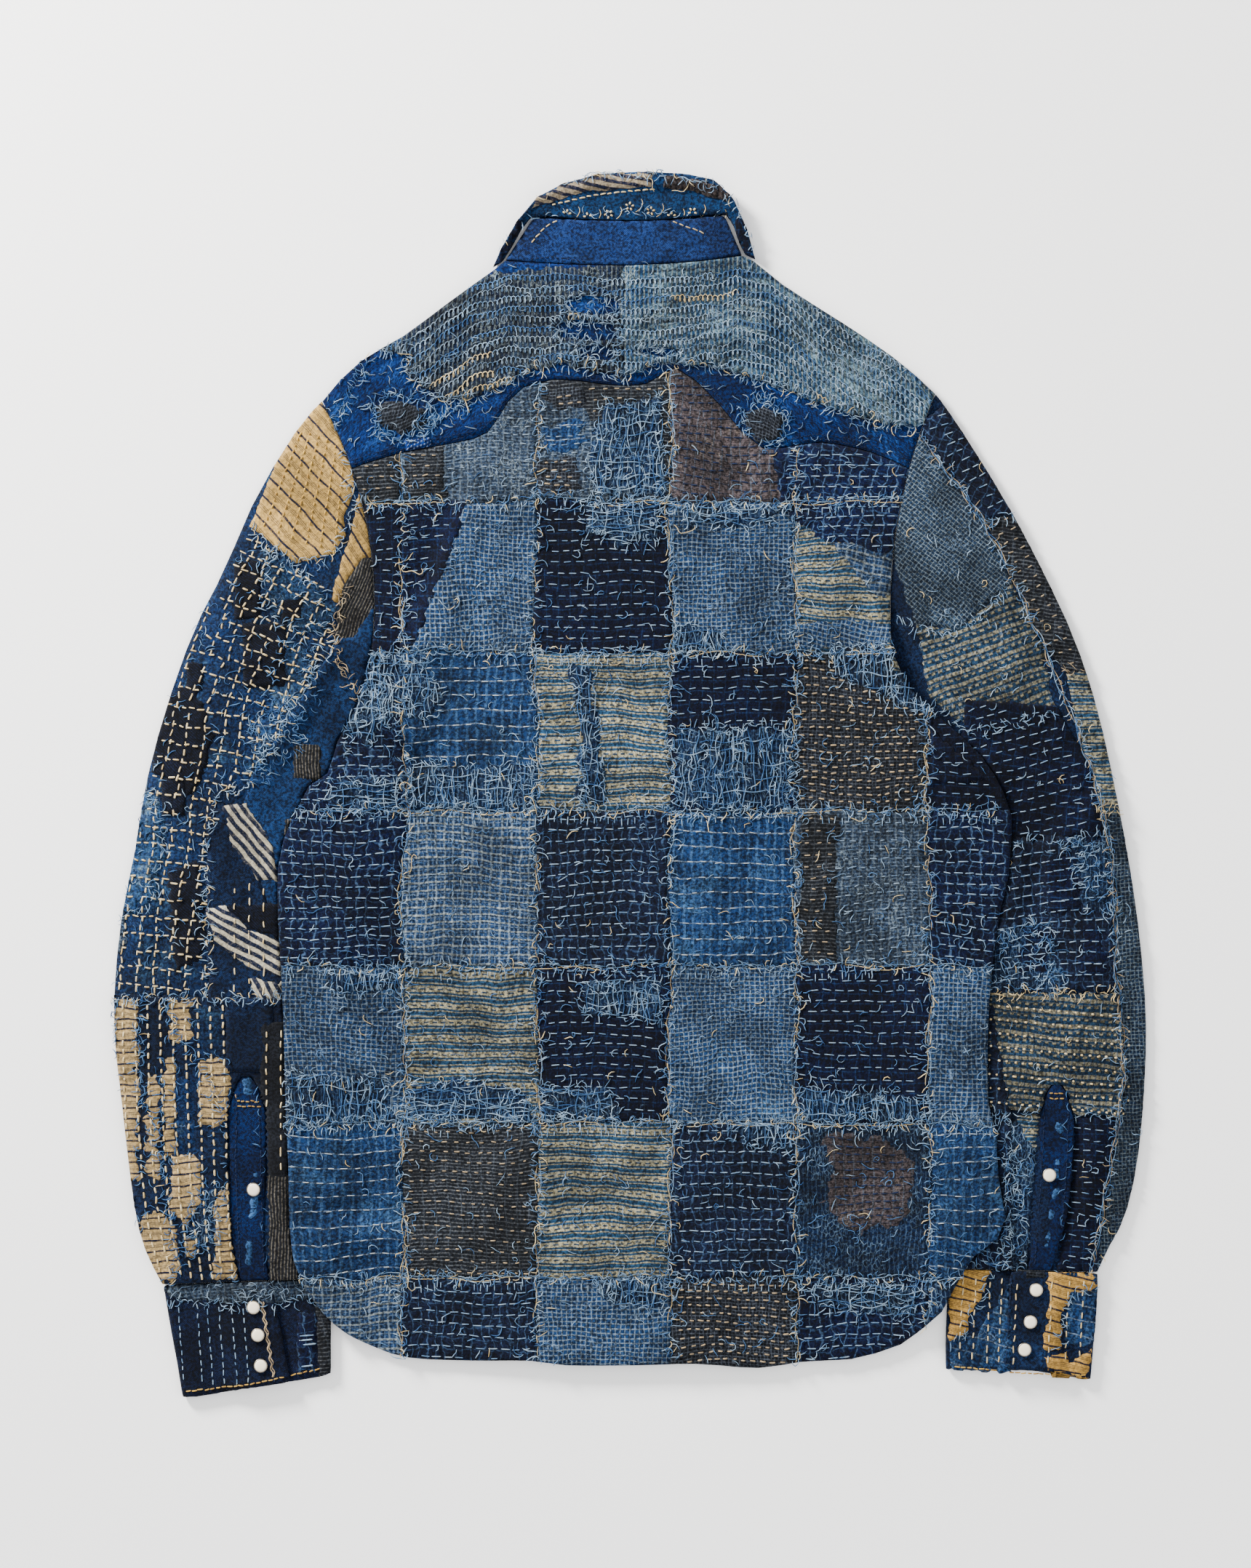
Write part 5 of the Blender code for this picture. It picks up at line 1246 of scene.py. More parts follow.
def makeYoke():
    sheet = drapeCloth(yokeSettings)
    sheet["fromWeave"] = fromYokeRows
    left = layPatch(sheet, "ribGrey", ribLeft, 0, 0.9, 1.6, 2.4, yokeHoles["left"])
    right = layPatch(sheet, "ribBlue", ribRight, 0, 1.0, 1.6, 2.4, yokeHoles["right"])
    layPatch(sheet, "dotPlaid",
             [(-176, 262), (-160, 266), (-142, 260), (-140, 248), (-156, 242), (-172, 248)], 20, 0.6, 0.8)
    layPatch(sheet, "dotPlaid",
             [(78, 256), (92, 262), (106, 254), (104, 240), (88, 236), (80, 244)], 10, 0.6, 0.8)
    layPatch(sheet, "darned", [(-156, 238), (-138, 240), (-134, 222), (-152, 218)], 8, 1.1, 0.5)
    patches = joinPatches(sheet, "yokePatches")
    holes = [np.array(h) for side in yokeHoles.values() for h in side]
    draw = random.Random(17)
    for row in np.arange(3.0, 130.0, 7.0):
        t = np.arange(-222.0, 222.0, 0.55)
        loopTurn = t * 2 * math.pi / 3.5 + np.sin(t / 7.0) * 0.8
        u = t + 1.25 * np.cos(loopTurn)
        v = row + 2.1 * np.sin(loopTurn) * (1 + 0.3 * softNoise(t, 0 * t, int(row), 16.0)) \
            + 1.2 * softNoise(t, 0 * t, 40 + int(row), 40.0)
        x, y = fromYokeRows(u, v)
        good = (insideLoop(left, x, y) | insideLoop(right, x, y)) & insideLoop(sheet["loop"], x, y)
        for hole in holes:
            good &= ~insideLoop(hole, x, y)
        places = np.flatnonzero(good)
        if len(places) < 8:
            continue
        for run in runsOf(places):
            at = 0
            while at < len(run):
                count = int(draw.uniform(40, 130))
                part = run[at:at + count]
                at += int(count * draw.uniform(0.92, 1.05))
                if len(part) < 6:
                    continue
                onLeft = x[part[0]] < -4
                bright = float(softNoise(x[part[:1]], y[part[:1]], 58, 60.0)[0])
                shares = [5, 2, 1, 6] if onLeft else [2, 5, 2, 4]
                factors = [1, 3 if bright > 0.2 else 1, 2 if bright > 0.3 else 0.3,
                           0.5 if bright > 0.2 else 1.6]
                shares = [share * factor for share, factor in zip(shares, factors)]
                colour = draw.choices(["greyBlue", "paleBlue", "cream", "midBlue"], shares)[0]
                addStrand(sheet, colour, np.stack([x[part], y[part]], 1), 0.25, 0.34)
    for k, hole in enumerate(holes):
        ring = resample([tuple(p) for p in hole] + [tuple(hole[0])], 2.0, False)
        fraysAlong(sheet, ring, [("paleBlue", 1.6, 6.0, 500 + k), ("greyBlue", 3.0, 8.0, 520 + k)])
    for k, edge in enumerate((ribLeft[:10], ribRight[:9])):
        fraysAlong(sheet, resample(edge, 2.0, False), [
            ("paleBlue", 1.7, 6.5, 540 + k), ("greyBlue", 3.4, 7.0, 550 + k), ("cream", 9.0, 8.0, 560 + k)])
    whole = [(-210, 230), (-210, 300), (-90, 360), (90, 360), (214, 290), (205, 225), (100, 240), (0, 280),
             (-100, 246)]
    tangleIn(sheet, "greyBlue", whole, 200.0, 8.0, 0.9, seed=570)
    tangleIn(sheet, "paleBlue", whole, 200.0, 8.0, 0.9, seed=571)
    frayed = [[(-178, 264), (-160, 270), (-138, 264), (-136, 246), (-156, 238), (-176, 246), (-178, 264)],
              [(76, 258), (92, 266), (108, 256), (106, 238), (88, 233), (78, 243), (76, 258)],
              [(-214, 236), (-196, 262), (-182, 290)], [(-150, 250), (-128, 256), (-110, 262)]]
    for k, ring in enumerate(frayed):
        fraysAlong(sheet, resample(ring, 2.0, False), [("midBlue", 1.4, 6.0, 580 + k),
                                                       ("paleBlue", 2.2, 7.0, 590 + k)])
    # Seam stitching: two rows above the lower edge
    lower = smoothRoute(
        [(-193, 219), (-156, 230), (-119, 237), (-98, 244), (-84, 265), (-73, 275), (-53, 280), (-35, 279),
         (-12, 276), (11, 277), (31, 288), (45, 279), (62, 262), (77, 244), (91, 233), (105, 233), (131, 237),
         (166, 230), (192, 219)], 3.0)
    for up in (2.0, 5.0):
        sewRow(sheet, "navy", lower + np.array([0, up]), 2.2, 0.9, 0.15, 0.6)
    sheet["parts"] = [patches]
    return sheet


# A small piece made from its own solid, with a finer mesh, so its openings and laps stay as built
def refineSolid(settings):
    name = settings["node"]
    shape = bmesh.new()
    shape.from_mesh(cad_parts[name].data)
    bmesh.ops.remove_doubles(shape, verts=shape.verts, dist=1e-6)
    for _ in range(6):
        long = [e for e in shape.edges if e.calc_length() > settings["longest"] * mm]
        if not long:
            break
        bmesh.ops.subdivide_edges(shape, edges=long, cuts=1, use_grid_fill=True)
        bmesh.ops.triangulate(shape, faces=[f for f in shape.faces if len(f.verts) > 3])
    for _ in range(settings.get("smooth", 1)):
        bmesh.ops.smooth_vert(shape, verts=shape.verts, factor=0.4, use_axis_x=True, use_axis_y=True,
                              use_axis_z=True)
    points = np.array([tuple(v.co) for v in shape.verts]) / mm
    shape.verts.index_update()
    faces = [[v.index for v in f.verts] for f in shape.faces]
    top = points[:, 2].max()
    shift = settings["relief"](points[:, 0], points[:, 1]) if "relief" in settings else 0.0
    # The upper side takes the whole relief, the side that lies on the floor none
    points[:, 2] += shift * easeIn(points[:, 2] / max(top, 1e-6) * 1.4)
    if "underRelief" in settings:
        low = 1.0 - easeIn(points[:, 2] / 1.2)
        points[:, 2] += low * np.maximum(0.0, settings["underRelief"](points[:, 0], points[:, 1]))
    u, v = settings["toWeave"](points[:, 0], points[:, 1])
    weave = np.stack([u, v, points[:, 2] * 0.7], 1)
    made = newObject(settings["name"], points * mm, faces, [fabrics[settings["fabric"]]], None, weave)
    if settings.get("hull"):
        loop = hullLoop([(round(a, 3), round(b, 3)) for a, b in points[:, :2].tolist()])
    else:
        loop = [p[:2] for p in upperLoop(name)]
    shape.free()
    tree = treeOf(points * mm, faces)
    print("refined", settings["name"], "triangles", len(faces))
    return dict(settings, object=made, loop=np.array(resample(loop, 2.2)), patches=[], sewn={}, strands={},
                tree=tree, levels=[], top=tree, parts=[])


def box4(x0, x1, y0, y1):
    return [(x0, y0), (x1, y0), (x1, y1), (x0, y1)]


def routeWeave(route, sway=1.4):
    # Cloth that follows a route: u across it and v along it, both ways
    line = smoothRoute(route, 10.0)
    lengths = walkedTo(line)
    slope = np.gradient(line, axis=0)
    slope /= np.linalg.norm(slope, axis=1)[:, None]

    def toWeave(x, y):
        offset, along, _ = alongRoute(line, x, y)
        return offset + sway * softNoise(x, y, 61, 60.0), along + sway * softNoise(x, y, 62, 70.0)

    def fromWeave(u, v):
        x = y = 0.0
        u0, v0 = np.array(u, float), np.array(v, float)
        for _ in range(3):
            px, py = np.interp(v0, lengths, line[:, 0]), np.interp(v0, lengths, line[:, 1])
            tx, ty = np.interp(v0, lengths, slope[:, 0]), np.interp(v0, lengths, slope[:, 1])
            x, y = px - ty * u0, py + tx * u0
            u0 = u - sway * softNoise(x, y, 61, 60.0)
            v0 = v - sway * softNoise(x, y, 62, 70.0)
        return x, y

    return toWeave, fromWeave


# The left sleeve
leftSleeve = {
    "name": "sleeveLeftCloth", "node": "sleeve_left", "step": 5.0, "fabric": "indigo", "tube": True,
        "rounds": 10,
    "route": [(-172, 320), (-188, 240), (-212, 160), (-248, 70), (-270, -40), (-282, -150), (-278, -260),
        (-264, -350)],
    "creases": [
        (-1.2, 5, 9, 16, [(-322, -30), (-321, -90), (-326, -140)]),
        (1.4, 8, 12, 16, [(-198, 104), (-226, 58), (-254, 14)]),
        (1.3, 8, 16, 16, [(-306, -52), (-272, -92), (-244, -112)]),
        (-1.0, 7, 8, 14, [(-300, -76), (-268, -112), (-246, -128)]),
        (1.0, 10, 14, 20, [(-300, 120), (-262, 92), (-226, 100)]),
        (1.2, 8, 12, 18, [(-336, -196), (-316, -262), (-302, -332)]),
        (1.0, 6, 9, 14, [(-292, -246), (-286, -300), (-284, -338)]),
        (0.9, 6, 9, 14, [(-240, -214), (-244, -280), (-248, -334)]),
        (0.8, 12, 16, 20, [(-340, 0), (-320, -30), (-280, -36)]),
        (0.9, 10, 12, 18, [(-230, 190), (-250, 140), (-262, 100)]),
    ],
}
leftSleevePatches = [      # cloth, ragged edge, angle, outline
    ("paleIndigo", 3.0, 0, [(-252, 162), (-232, 150), (-212, 134), (-206, 112), (-226, 104), (-250, 118)]),
    ("paleIndigo", 2.6, 0, [(-236, 100), (-222, 96), (-214, 60), (-236, 36), (-250, 60)]),
    ("paleIndigo", 2.6, 0, [(-344, -20), (-330, 0), (-318, -30), (-330, -80), (-352, -90)]),
    ("blackIndigo", 2.0, 0, [(-326, 60), (-300, 72), (-286, 30), (-300, -6), (-330, 10)]),
    ("blackIndigo", 2.0, 0, [(-318, -60), (-296, -50), (-290, -110), (-312, -130)]),
    ("wornBlue", 2.0, 0, [(-262, 40), (-236, 60), (-226, 30), (-254, 2)]),
    ("blackIndigo", 0.5, 12, box4(-272, -254, 115, 155)),
    ("blackIndigo", 0.5, 8, box4(-240, -225, 112, 130)),
    ("blackIndigo", 0.5, 10, box4(-266, -236, 68, 112)),
    ("blackIndigo", 0.5, 4, box4(-305, -294, 66, 85)),
    ("blackIndigo", 0.5, 4, box4(-322, -306, -20, 6)),
    ("goldStripe", 0.5, -46, [(-208, 266), (-193, 240), (-188, 208), (-197, 186), (-196, 173), (-205, 160),
        (-222, 155), (-230, 154), (-262, 179), (-240, 232), (-222, 262)]),
    ("navyCloth", 0.8, 0, [(-216, 268), (-196, 262), (-180, 236), (-180, 206), (-190, 204), (-193, 236)]),
    ("goldStripe", 0.6, -58, [(-186, 205), (-176, 196), (-176, 158), (-187, 153), (-196, 138), (-201, 126),
        (-206, 128), (-200, 150), (-192, 176)]),
    ("pinstripe", 0.5, -22, [(-184, 158), (-172, 154), (-170, 100), (-186, 58), (-204, 98), (-200, 123),
        (-197, 138)]),
    ("blueDenim", 0.5, 0, [(-178, 124), (-170, 112), (-180, 70), (-203, 58), (-198, 78), (-192, 101)]),
    ("blueDenim", 0.5, 0, [(-200, 103), (-178, 100), (-176, 30), (-200, -10), (-222, -70), (-232, -140),
        (-246, -140), (-241, -109), (-268, -24), (-261, 6)]),
    ("pinstripe", 0.6, 0, box4(-232, -212, 4, 30)),
    ("pinstripe", 0.6, 0, box4(-238, -222, -40, -22)),
    ("navyCloth", 0.8, 0, [(-292, -12), (-268, -20), (-242, -104), (-236, -150), (-290, -150)]),
    ("ticking", 0.6, -50, [(-280, -14), (-264, -12), (-246, -40), (-242, -66), (-258, -64), (-276, -38)]),
    ("blackIndigo", 0.8, 0, [(-280, -82), (-242, -80), (-236, -108), (-262, -98)]),
    ("ticking", 0.6, -28, [(-292, -84), (-278, -82), (-262, -98), (-236, -108), (-236, -132), (-264, -124),
        (-286, -106)]),
    ("ticking", 0.6, -60, [(-262, -132), (-238, -134), (-236, -150), (-256, -150)]),
    ("navyCloth", 1.0, 0, [(-362, -143), (-228, -146), (-228, -345), (-345, -350), (-366, -240)]),
    ("indigo", 2.2, 0, [(-300, -148), (-280, -150), (-276, -190), (-298, -186)]),
    ("indigo", 2.6, 0, [(-318, -196), (-300, -200), (-296, -246), (-312, -252)]),
    ("gauze", 2.6, 0, [(-300, -282), (-280, -270), (-276, -290), (-290, -320), (-304, -316)]),
    ("tanStripe", 1.4, 0, box4(-355, -337, -271, -146)),
    ("tanStripe", 1.2, 0, box4(-318, -300, -176, -146)),
    ("tanStripe", 2.0, 4, box4(-333, -322, -270, -198)),
    ("tanStripe", 1.4, 4, box4(-320, -312, -254, -186)),
    ("tanStripe", 1.6, 0, [(-296, -190), (-284, -184), (-275, -192), (-276, -226), (-286, -237),
        (-297, -230)]),
    ("tanStripe", 1.6, 6, [(-315, -254), (-296, -252), (-294, -284), (-304, -302), (-316, -290)]),
    ("tanStripe", 1.6, 6, [(-338, -296), (-326, -290), (-310, -300), (-309, -340), (-336, -344)]),
    ("tanStripe", 1.6, 4, box4(-286, -268, -338, -278)),
    ("tanStripe", 1.2, 0, box4(-306, -297, -324, -311)),
    ("navyCloth", 0.5, 0, box4(-278, -246, -196, -146)),
    ("charcoal", 0.6, 0, box4(-254, -226, -272, -162)),
    ("pinstripe", 0.6, 0, box4(-252, -226, -345, -267)),
    ("greyBlue", 1.4, 0, [(-366, -60), (-350, -66), (-346, -110), (-362, -120)]),
]

# The right sleeve
rightSleeve = {
    "name": "sleeveRightCloth", "node": "sleeve_right", "step": 5.0, "fabric": "navyCloth", "tube": True,
    "rounds": 10,
    "route": [(172, 320), (196, 240), (232, 160), (272, 70), (296, -40), (306, -150), (300, -260),
        (284, -345)],
    "creases": [
        (1.7, 14, 8, 18, [(240, 30), (264, -30), (266, -60), (250, -116)]),
        (-1.1, 8, 8, 18, [(250, 10), (276, -40), (272, -100)]),
        (1.2, 12, 8, 18, [(334, 4), (302, -34), (268, -50)]),
        (1.1, 8, 12, 16, [(262, -180), (280, -250), (286, -332)]),
        (-0.9, 7, 8, 16, [(306, -196), (306, -262), (300, -334)]),
        (1.0, 10, 14, 16, [(246, 184), (270, 132), (300, 92)]),
        (0.9, 8, 10, 14, [(322, -220), (316, -280), (308, -334)]),
        (0.9, 10, 10, 16, [(224, 200), (250, 150), (262, 96)]),
        (0.8, 12, 14, 18, [(340, -100), (310, -130), (268, -136)]),
    ],
}
rightSleevePatches = [
    ("dimCheck", 1.0, 4, [(322, -17), (342, -10), (362, -120), (352, -250), (336, -345), (318, -345),
        (328, -280), (340, -199), (334, -124), (332, -59)]),
    ("creamStripe", 0.8, 0, [(300, 78), (334, 90), (356, -20), (322, -20), (312, 20)]),
    ("brownStripe", 0.6, -6, [(243, 184), (280, 190), (316, 110), (332, 80), (300, 78), (282, 100)]),
    ("slateNet", 0.8, -24, [(198, 250), (226, 268), (256, 236), (280, 188), (243, 184)]),
    ("dimCheck", 0.8, -38, [(186, 246), (200, 240), (243, 184), (262, 140), (226, 108), (196, 112),
        (180, 160)]),
    ("dimStripe", 1.2, 20, [(196, 112), (226, 108), (262, 140), (284, 98), (292, 50), (236, 38),
        (206, 60)]),
    ("midnight", 1.0, -8, [(232, 60), (292, 56), (318, 12), (326, -34), (262, -36), (222, -4)]),
    ("slateNet", 2.0, 0, [(222, -4), (262, -36), (326, -34), (334, -124), (336, -142), (246, -142),
        (238, -60)]),
    ("gauze", 2.4, 0, [(300, -36), (330, -36), (334, -90), (314, -84), (304, -60)]),
    ("gauze", 2.4, 0, [(250, -96), (290, -92), (300, -140), (246, -142)]),
    ("midnight", 1.6, 0, [(284, -50), (306, -48), (310, -84), (288, -88)]),
    ("midnight", 1.6, 0, [(270, -96), (290, -98), (288, -130), (266, -128)]),
    ("midnight", 1.6, 0, [(308, -96), (324, -94), (328, -130), (310, -132)]),
    ("dimStripe", 1.0, -5, [(246, -142), (336, -142), (341, -199), (338, -226), (244, -222)]),
    ("creamStripe", 0.8, -5, [(266, -226), (302, -226), (300, -252), (266, -252)]),
    ("gauze", 2.2, 0, [(240, -222), (262, -226), (284, -254), (284, -340), (232, -340), (238, -280)]),
    ("midnight", 0.8, 0, [(297, -228), (336, -226), (328, -284), (318, -345), (294, -345)]),
    ("slateNet", 0.8, 0, [(236, -150), (250, -150), (262, -226), (262, -345), (228, -345), (230, -240)]),
]


def drapeSleeve(settings, seed, covers):
    toWeave, fromWeave = routeWeave(settings["route"])
    return drapeCloth(dict(settings, relief=lambda x, y: 0.25 * softNoise(x, y, seed, 28.0), cover=covers,
                           toWeave=toWeave, fromWeave=fromWeave, patchRelief=puckers, patchWeave=plainWeave))


def makeLeftSleeve(covers):
    sheet = drapeSleeve(leftSleeve, 34, covers)
    for fabric, rag, angle, outline in leftSleevePatches:
        layPatch(sheet, fabric, outline, angle, 0.35, rag)
    sheet["parts"] = [joinPatches(sheet, "sleeveLeftPatches")]
    # Cream running stitches both ways, which cross on a grid
    zone = np.array([(-262, 178), (-240, 152), (-222, 152), (-208, 130), (-206, 98), (-264, 2), (-284, -10),
                     (-292, -60), (-290, -144), (-362, -144), (-350, 20), (-304, 120)], float)
    draw = random.Random(77)
    for across in (True, False):
        for row in np.arange(0.0, 520.0, 11.6) if across else np.arange(-116.0, 116.0, 11.6):
            for place in np.arange(-116.0, 116.0, 5.9) if across else np.arange(0.0, 520.0, 5.9):
                if draw.random() < 0.1:
                    continue
                half, off = draw.uniform(1.5, 2.3), draw.gauss(0, 0.5)
                ends = [(place - half, row + off), (place + half, row + off + draw.gauss(0, 0.5))]
                if not across:
                    ends = [(v, u) for u, v in ends]
                x, y = sheet["fromWeave"](*np.array(ends).T)
                if insideLoop(zone, x[:1], y[:1])[0]:
                    addStitch(sheet, "cream", np.stack([x, y], 1), draw.uniform(1.05, 1.6))
    for k in range(9):
        x0 = -349 + 8.6 * k
        line = [(x0, -148), (x0 + 2, -220), (x0 + 8 - 0.5 * k, -290), (x0 + 20 - 1.6 * k, -340)]
        sewRow(sheet, "cream", smoothRoute(line), 4.0, 2.8, 0.3, 1.6)
    for x0 in (-272, -262, -252):
        sewRow(sheet, "cream", [(x0, -66), (x0, -148)], 5.0, 6.0, 0.3, 1.2)
    for x0 in (-250, -240):
        sewRow(sheet, "cream", [(x0, -166), (x0, -268)], 5.0, 4.0, 0.3, 1.2)
    for k in range(6):      # gold rows across the golden patch
        line = [(-252 + 9.6 * k, 178 - 4 * k), (-226 + 6.0 * k, 246 - 2 * k)]
        sewRow(sheet, "gold", line, 2.6, 2.0, 0.2, 1.3)
    seams = [
        ([(-262, 178), (-232, 154), (-206, 160), (-192, 190), (-194, 238)], "paleBlue"),
        ([(-200, 104), (-262, 4), (-288, -14), (-290, -144)], "paleBlue"),
        ([(-362, -145), (-300, -145), (-232, -146)], "paleBlue"),
        ([(-337, -146), (-337, -200), (-322, -260), (-312, -340)], "midBlue"),
        ([(-320, -150), (-298, -190), (-276, -240), (-268, -340)], "midBlue"),
        ([(-186, 58), (-203, 98), (-196, 138)], "tan"),
    ]
    for k, (line, colour) in enumerate(seams):
        fraysAlong(sheet, smoothRoute(line, 4.0), [(colour, 1.7, 7.0, 600 + k), ("cream", 7.0, 6.0, 620 + k)])
    for k, (fabric, _, _, outline) in enumerate(leftSleevePatches):
        if fabric in ("tanStripe", "gauze", "wornBlue", "paleIndigo"):
            ring = resample(outline + outline[:1], 3.0, False)
            plain = fabric == "tanStripe"
            frayAlong(sheet, "midBlue" if k % 2 or plain else "paleBlue", ring, 4.2 if plain else 2.2,
                      5.0 if plain else 7.0, seed=640 + k)
        if fabric in ("gauze", "wornBlue"):
            tangleIn(sheet, "paleBlue", outline, 22.0, 10.0, 0.8, seed=680 + k)
    zoneList = [tuple(p) for p in zone]
    tangleIn(sheet, "midBlue", zoneList, 160.0, 8.0, 1.2, seed=700)
    tangleIn(sheet, "paleBlue", zoneList, 260.0, 8.0, 1.2, seed=701)
    frayAlong(sheet, "midBlue", [(-355, -150), (-356, -180), (-357, -212)], 2.0, 8.0, seed=703)
    return sheet


def makeRightSleeve(covers):
    sheet = drapeSleeve(rightSleeve, 35, covers)
    laid = [(fabric, layPatch(sheet, fabric, outline, angle, 0.35, rag))
            for fabric, rag, angle, outline in rightSleevePatches]
    sheet["parts"] = [joinPatches(sheet, "sleeveRightPatches")]
    for fabric, loop in laid:
        sewPatch(sheet, fabric, loop)
    for dot in range(8):
        y = -150 - 9.5 * dot
        sewRow(sheet, "cream", [(246, y), (344, y - 9)], 1.8, 4.2, 0.2, 1.7)
    edge = [(199, 241), (242, 183), (282, 101), (317, 11), (332, -59), (334, -124), (339, -199), (327, -279),
            (317, -335)]
    line = smoothRoute(edge, 1.6)
    for k, colour in enumerate(("tan", "midBlue", "paleBlue")):
        n = np.arange(len(line))
        sway = np.stack([1.6 * np.sin(n / (3.1 + k)), 1.2 * np.cos(n / 2.3)], 1)
        addStrand(sheet, colour, line + sway, 0.1, 0.34)
        frayAlong(sheet, colour, line, 7.0 - 2.0 * k, 5.0, seed=800 + k)
    rows = [
        ([(180, 112), (226, 108), (262, 140)], "paleBlue"), ([(206, 56), (236, 38), (292, 52)], "paleBlue"),
        ([(222, -6), (262, -36), (326, -34)], "paleBlue"), ([(244, -142), (336, -142)], "cream"),
        ([(240, -224), (338, -226)], "paleBlue"), ([(262, -230), (262, -340)], "paleBlue"),
        ([(284, -254), (284, -340)], "paleBlue"), ([(300, 78), (334, 88)], "tan"),
        ([(243, 184), (280, 190)], "paleBlue"), ([(320, -18), (350, -14)], "cream"),
    ]
    for k, (route, colour) in enumerate(rows):
        frayAlong(sheet, colour, smoothRoute(route, 4.0), 1.8, 7.0, seed=820 + k)
    for k, (fabric, _, _, outline) in enumerate(rightSleevePatches):
        if fabric in ("gauze", "greyBlue"):
            tangleIn(sheet, "paleBlue", outline, 34.0, 10.0, 0.9, seed=850 + k)
            tangleIn(sheet, "midBlue", outline, 48.0, 10.0, 0.9, seed=870 + k)
    everywhere = [(190, 250), (260, 250), (355, -60), (350, -345), (230, -345), (230, -100), (200, 60)]
    tangleIn(sheet, "paleBlue", everywhere, 420.0, 8.0, 1.2, seed=880)
    tangleIn(sheet, "cream", everywhere, 1500.0, 8.0, 1.2, seed=881)
    return sheet


def plainWeave(x, y):
    return x + 0.6 * softNoise(x, y, 71, 40.0), y + 0.6 * softNoise(x, y, 72, 40.0)


def leanWeave(degrees):
    turn = math.radians(degrees)

    def toWeave(x, y):
        return plainWeave(x * math.cos(turn) + y * math.sin(turn), y * math.cos(turn) - x * math.sin(turn))
    return toWeave


# The cuffs
cuffSettings = {
    "left": {"name": "cuffLeftCloth", "node": "cuff_left", "lean": 8, "hem": [(-314, -417), (-262, -411),
        (-211, -400)], "lap": [(-252, -352), (-248, -380), (-244, -410)]},
    "right": {"name": "cuffRightCloth", "node": "cuff_right", "lean": -6, "fabric": "navyCloth",
        "hem": [(222, -399), (268, -403), (316, -405)], "lap": [(262, -336), (260, -368), (258, -400)]},
}


def makeCuff(side):
    s = cuffSettings[side]
    settings = dict({"fabric": "cuffNavy"}, **s, longest=8.0, hull=True, toWeave=leanWeave(s["lean"]),
                    patchRelief=puckers, relief=lambda x, y: 0.28 * softNoise(x, y, 73, 22.0))
    sheet = refineSolid(settings)
    if side == "left":
        layPatch(sheet, "greyBlue", [(-324, -336), (-210, -334), (-210, -352), (-262, -356), (-318, -352)],
                 0, 0.35, 1.2)
        layPatch(sheet, "navyNet", box4(-229, -216, -404, -362), 0, 0.4, 0.8)
        for y in range(-402, -362, 3):
            sewRow(sheet, "paleBlue", [(-228, y), (-216, y + 1)], 9.0, 2.0, 0.1, 1.2)
        layPatch(sheet, "brownStripe", [(-216, -356), (-204, -354), (-204, -402), (-214, -406)], 0, 0.4, 0.5)
        for x in (-311, -298, -291, -283, -274, -266):
            sewRow(sheet, "paleBlue", [(x, -356), (x + 4, -412)], 3.6, 2.6, 0.3, 0.9)
        selvage = smoothRoute([(-253, -354), (-249, -380), (-245, -406)], 1.2)
        for off in (-0.6, 0.5):
            sway = np.stack([off + 0.7 * np.sin(np.arange(len(selvage)) * 1.1 + off), 0 * selvage[:, 0]], 1)
            addStrand(sheet, "tan", selvage + sway, 0.1, 0.55)
        for y in (-340, -344):
            sewRow(sheet, "gold", [(-266, y), (-254, y)], 9.0, 1.0, 0.1, 1.6)
        join = smoothRoute([(-320, -353), (-262, -357), (-212, -352)], 3.0)
        frayAlong(sheet, "paleBlue", join, 2.0, 6.0, seed=900)
        tangleIn(sheet, "greyBlue", [(-322, -338), (-210, -336), (-210, -354), (-318, -354)], 18.0, 8.0,
                 seed=901)
    else:
        rightCuffPatches = [      # cloth, ragged edge, outline
            ("wornBlue", 1.6, [(219, -370), (236, -380), (262, -340), (262, -402), (222, -402)]),
            ("wornBlue", 1.6, [(300, -334), (324, -330), (322, -384), (300, -386)]),
            ("goldTick", 1.4, [(218, -326), (248, -328), (243, -350), (234, -362), (232, -376), (220, -381)]),
            ("goldTick", 1.2, [(288, -328), (322, -329), (321, -345), (304, -349), (297, -360), (296, -386),
                               (284, -388), (287, -360)]),
            ("goldTick", 1.2, [(284, -392), (300, -389), (301, -398), (317, -387), (316, -409), (290, -407)]),
        ]
        for fabric, rag, outline in rightCuffPatches:
            layPatch(sheet, fabric, outline, -8, 0.3, rag)
        for k, edge in enumerate(([(248, -328), (243, -350), (233, -364), (232, -378), (219, -383)],
                                  [(322, -346), (304, -349), (297, -360), (296, -387)])):
            frayAlong(sheet, "paleBlue", smoothRoute(edge, 3.0), 1.8, 6.0, seed=910 + k)
        layPatch(sheet, "dotPlaid", box4(272, 285, -338, -324), 0, 0.4, 0.4)
        for x in (229, 238, 248, 256, 266, 290, 302, 312):
            sewRow(sheet, "cream", [(x, -338), (x - 3, -398)], 4.2, 3.0, 0.3, 1.1)
        for y in (-338, -341):
            sewRow(sheet, "gold", [(262, y), (272, y)], 8.0, 1.0, 0.1, 1.6)
    sewRow(sheet, "gold", smoothRoute(s["hem"], 4.0), 3.4, 0.8, 0.1, 1.1)
    sewRow(sheet, "navy", smoothRoute(s["lap"], 4.0), 2.2, 0.9, 0.1, 0.8)
    if sheet["patches"]:
        sheet["parts"] = [joinPatches(sheet, s["name"].replace("Cloth", "Patches"))]
    return sheet


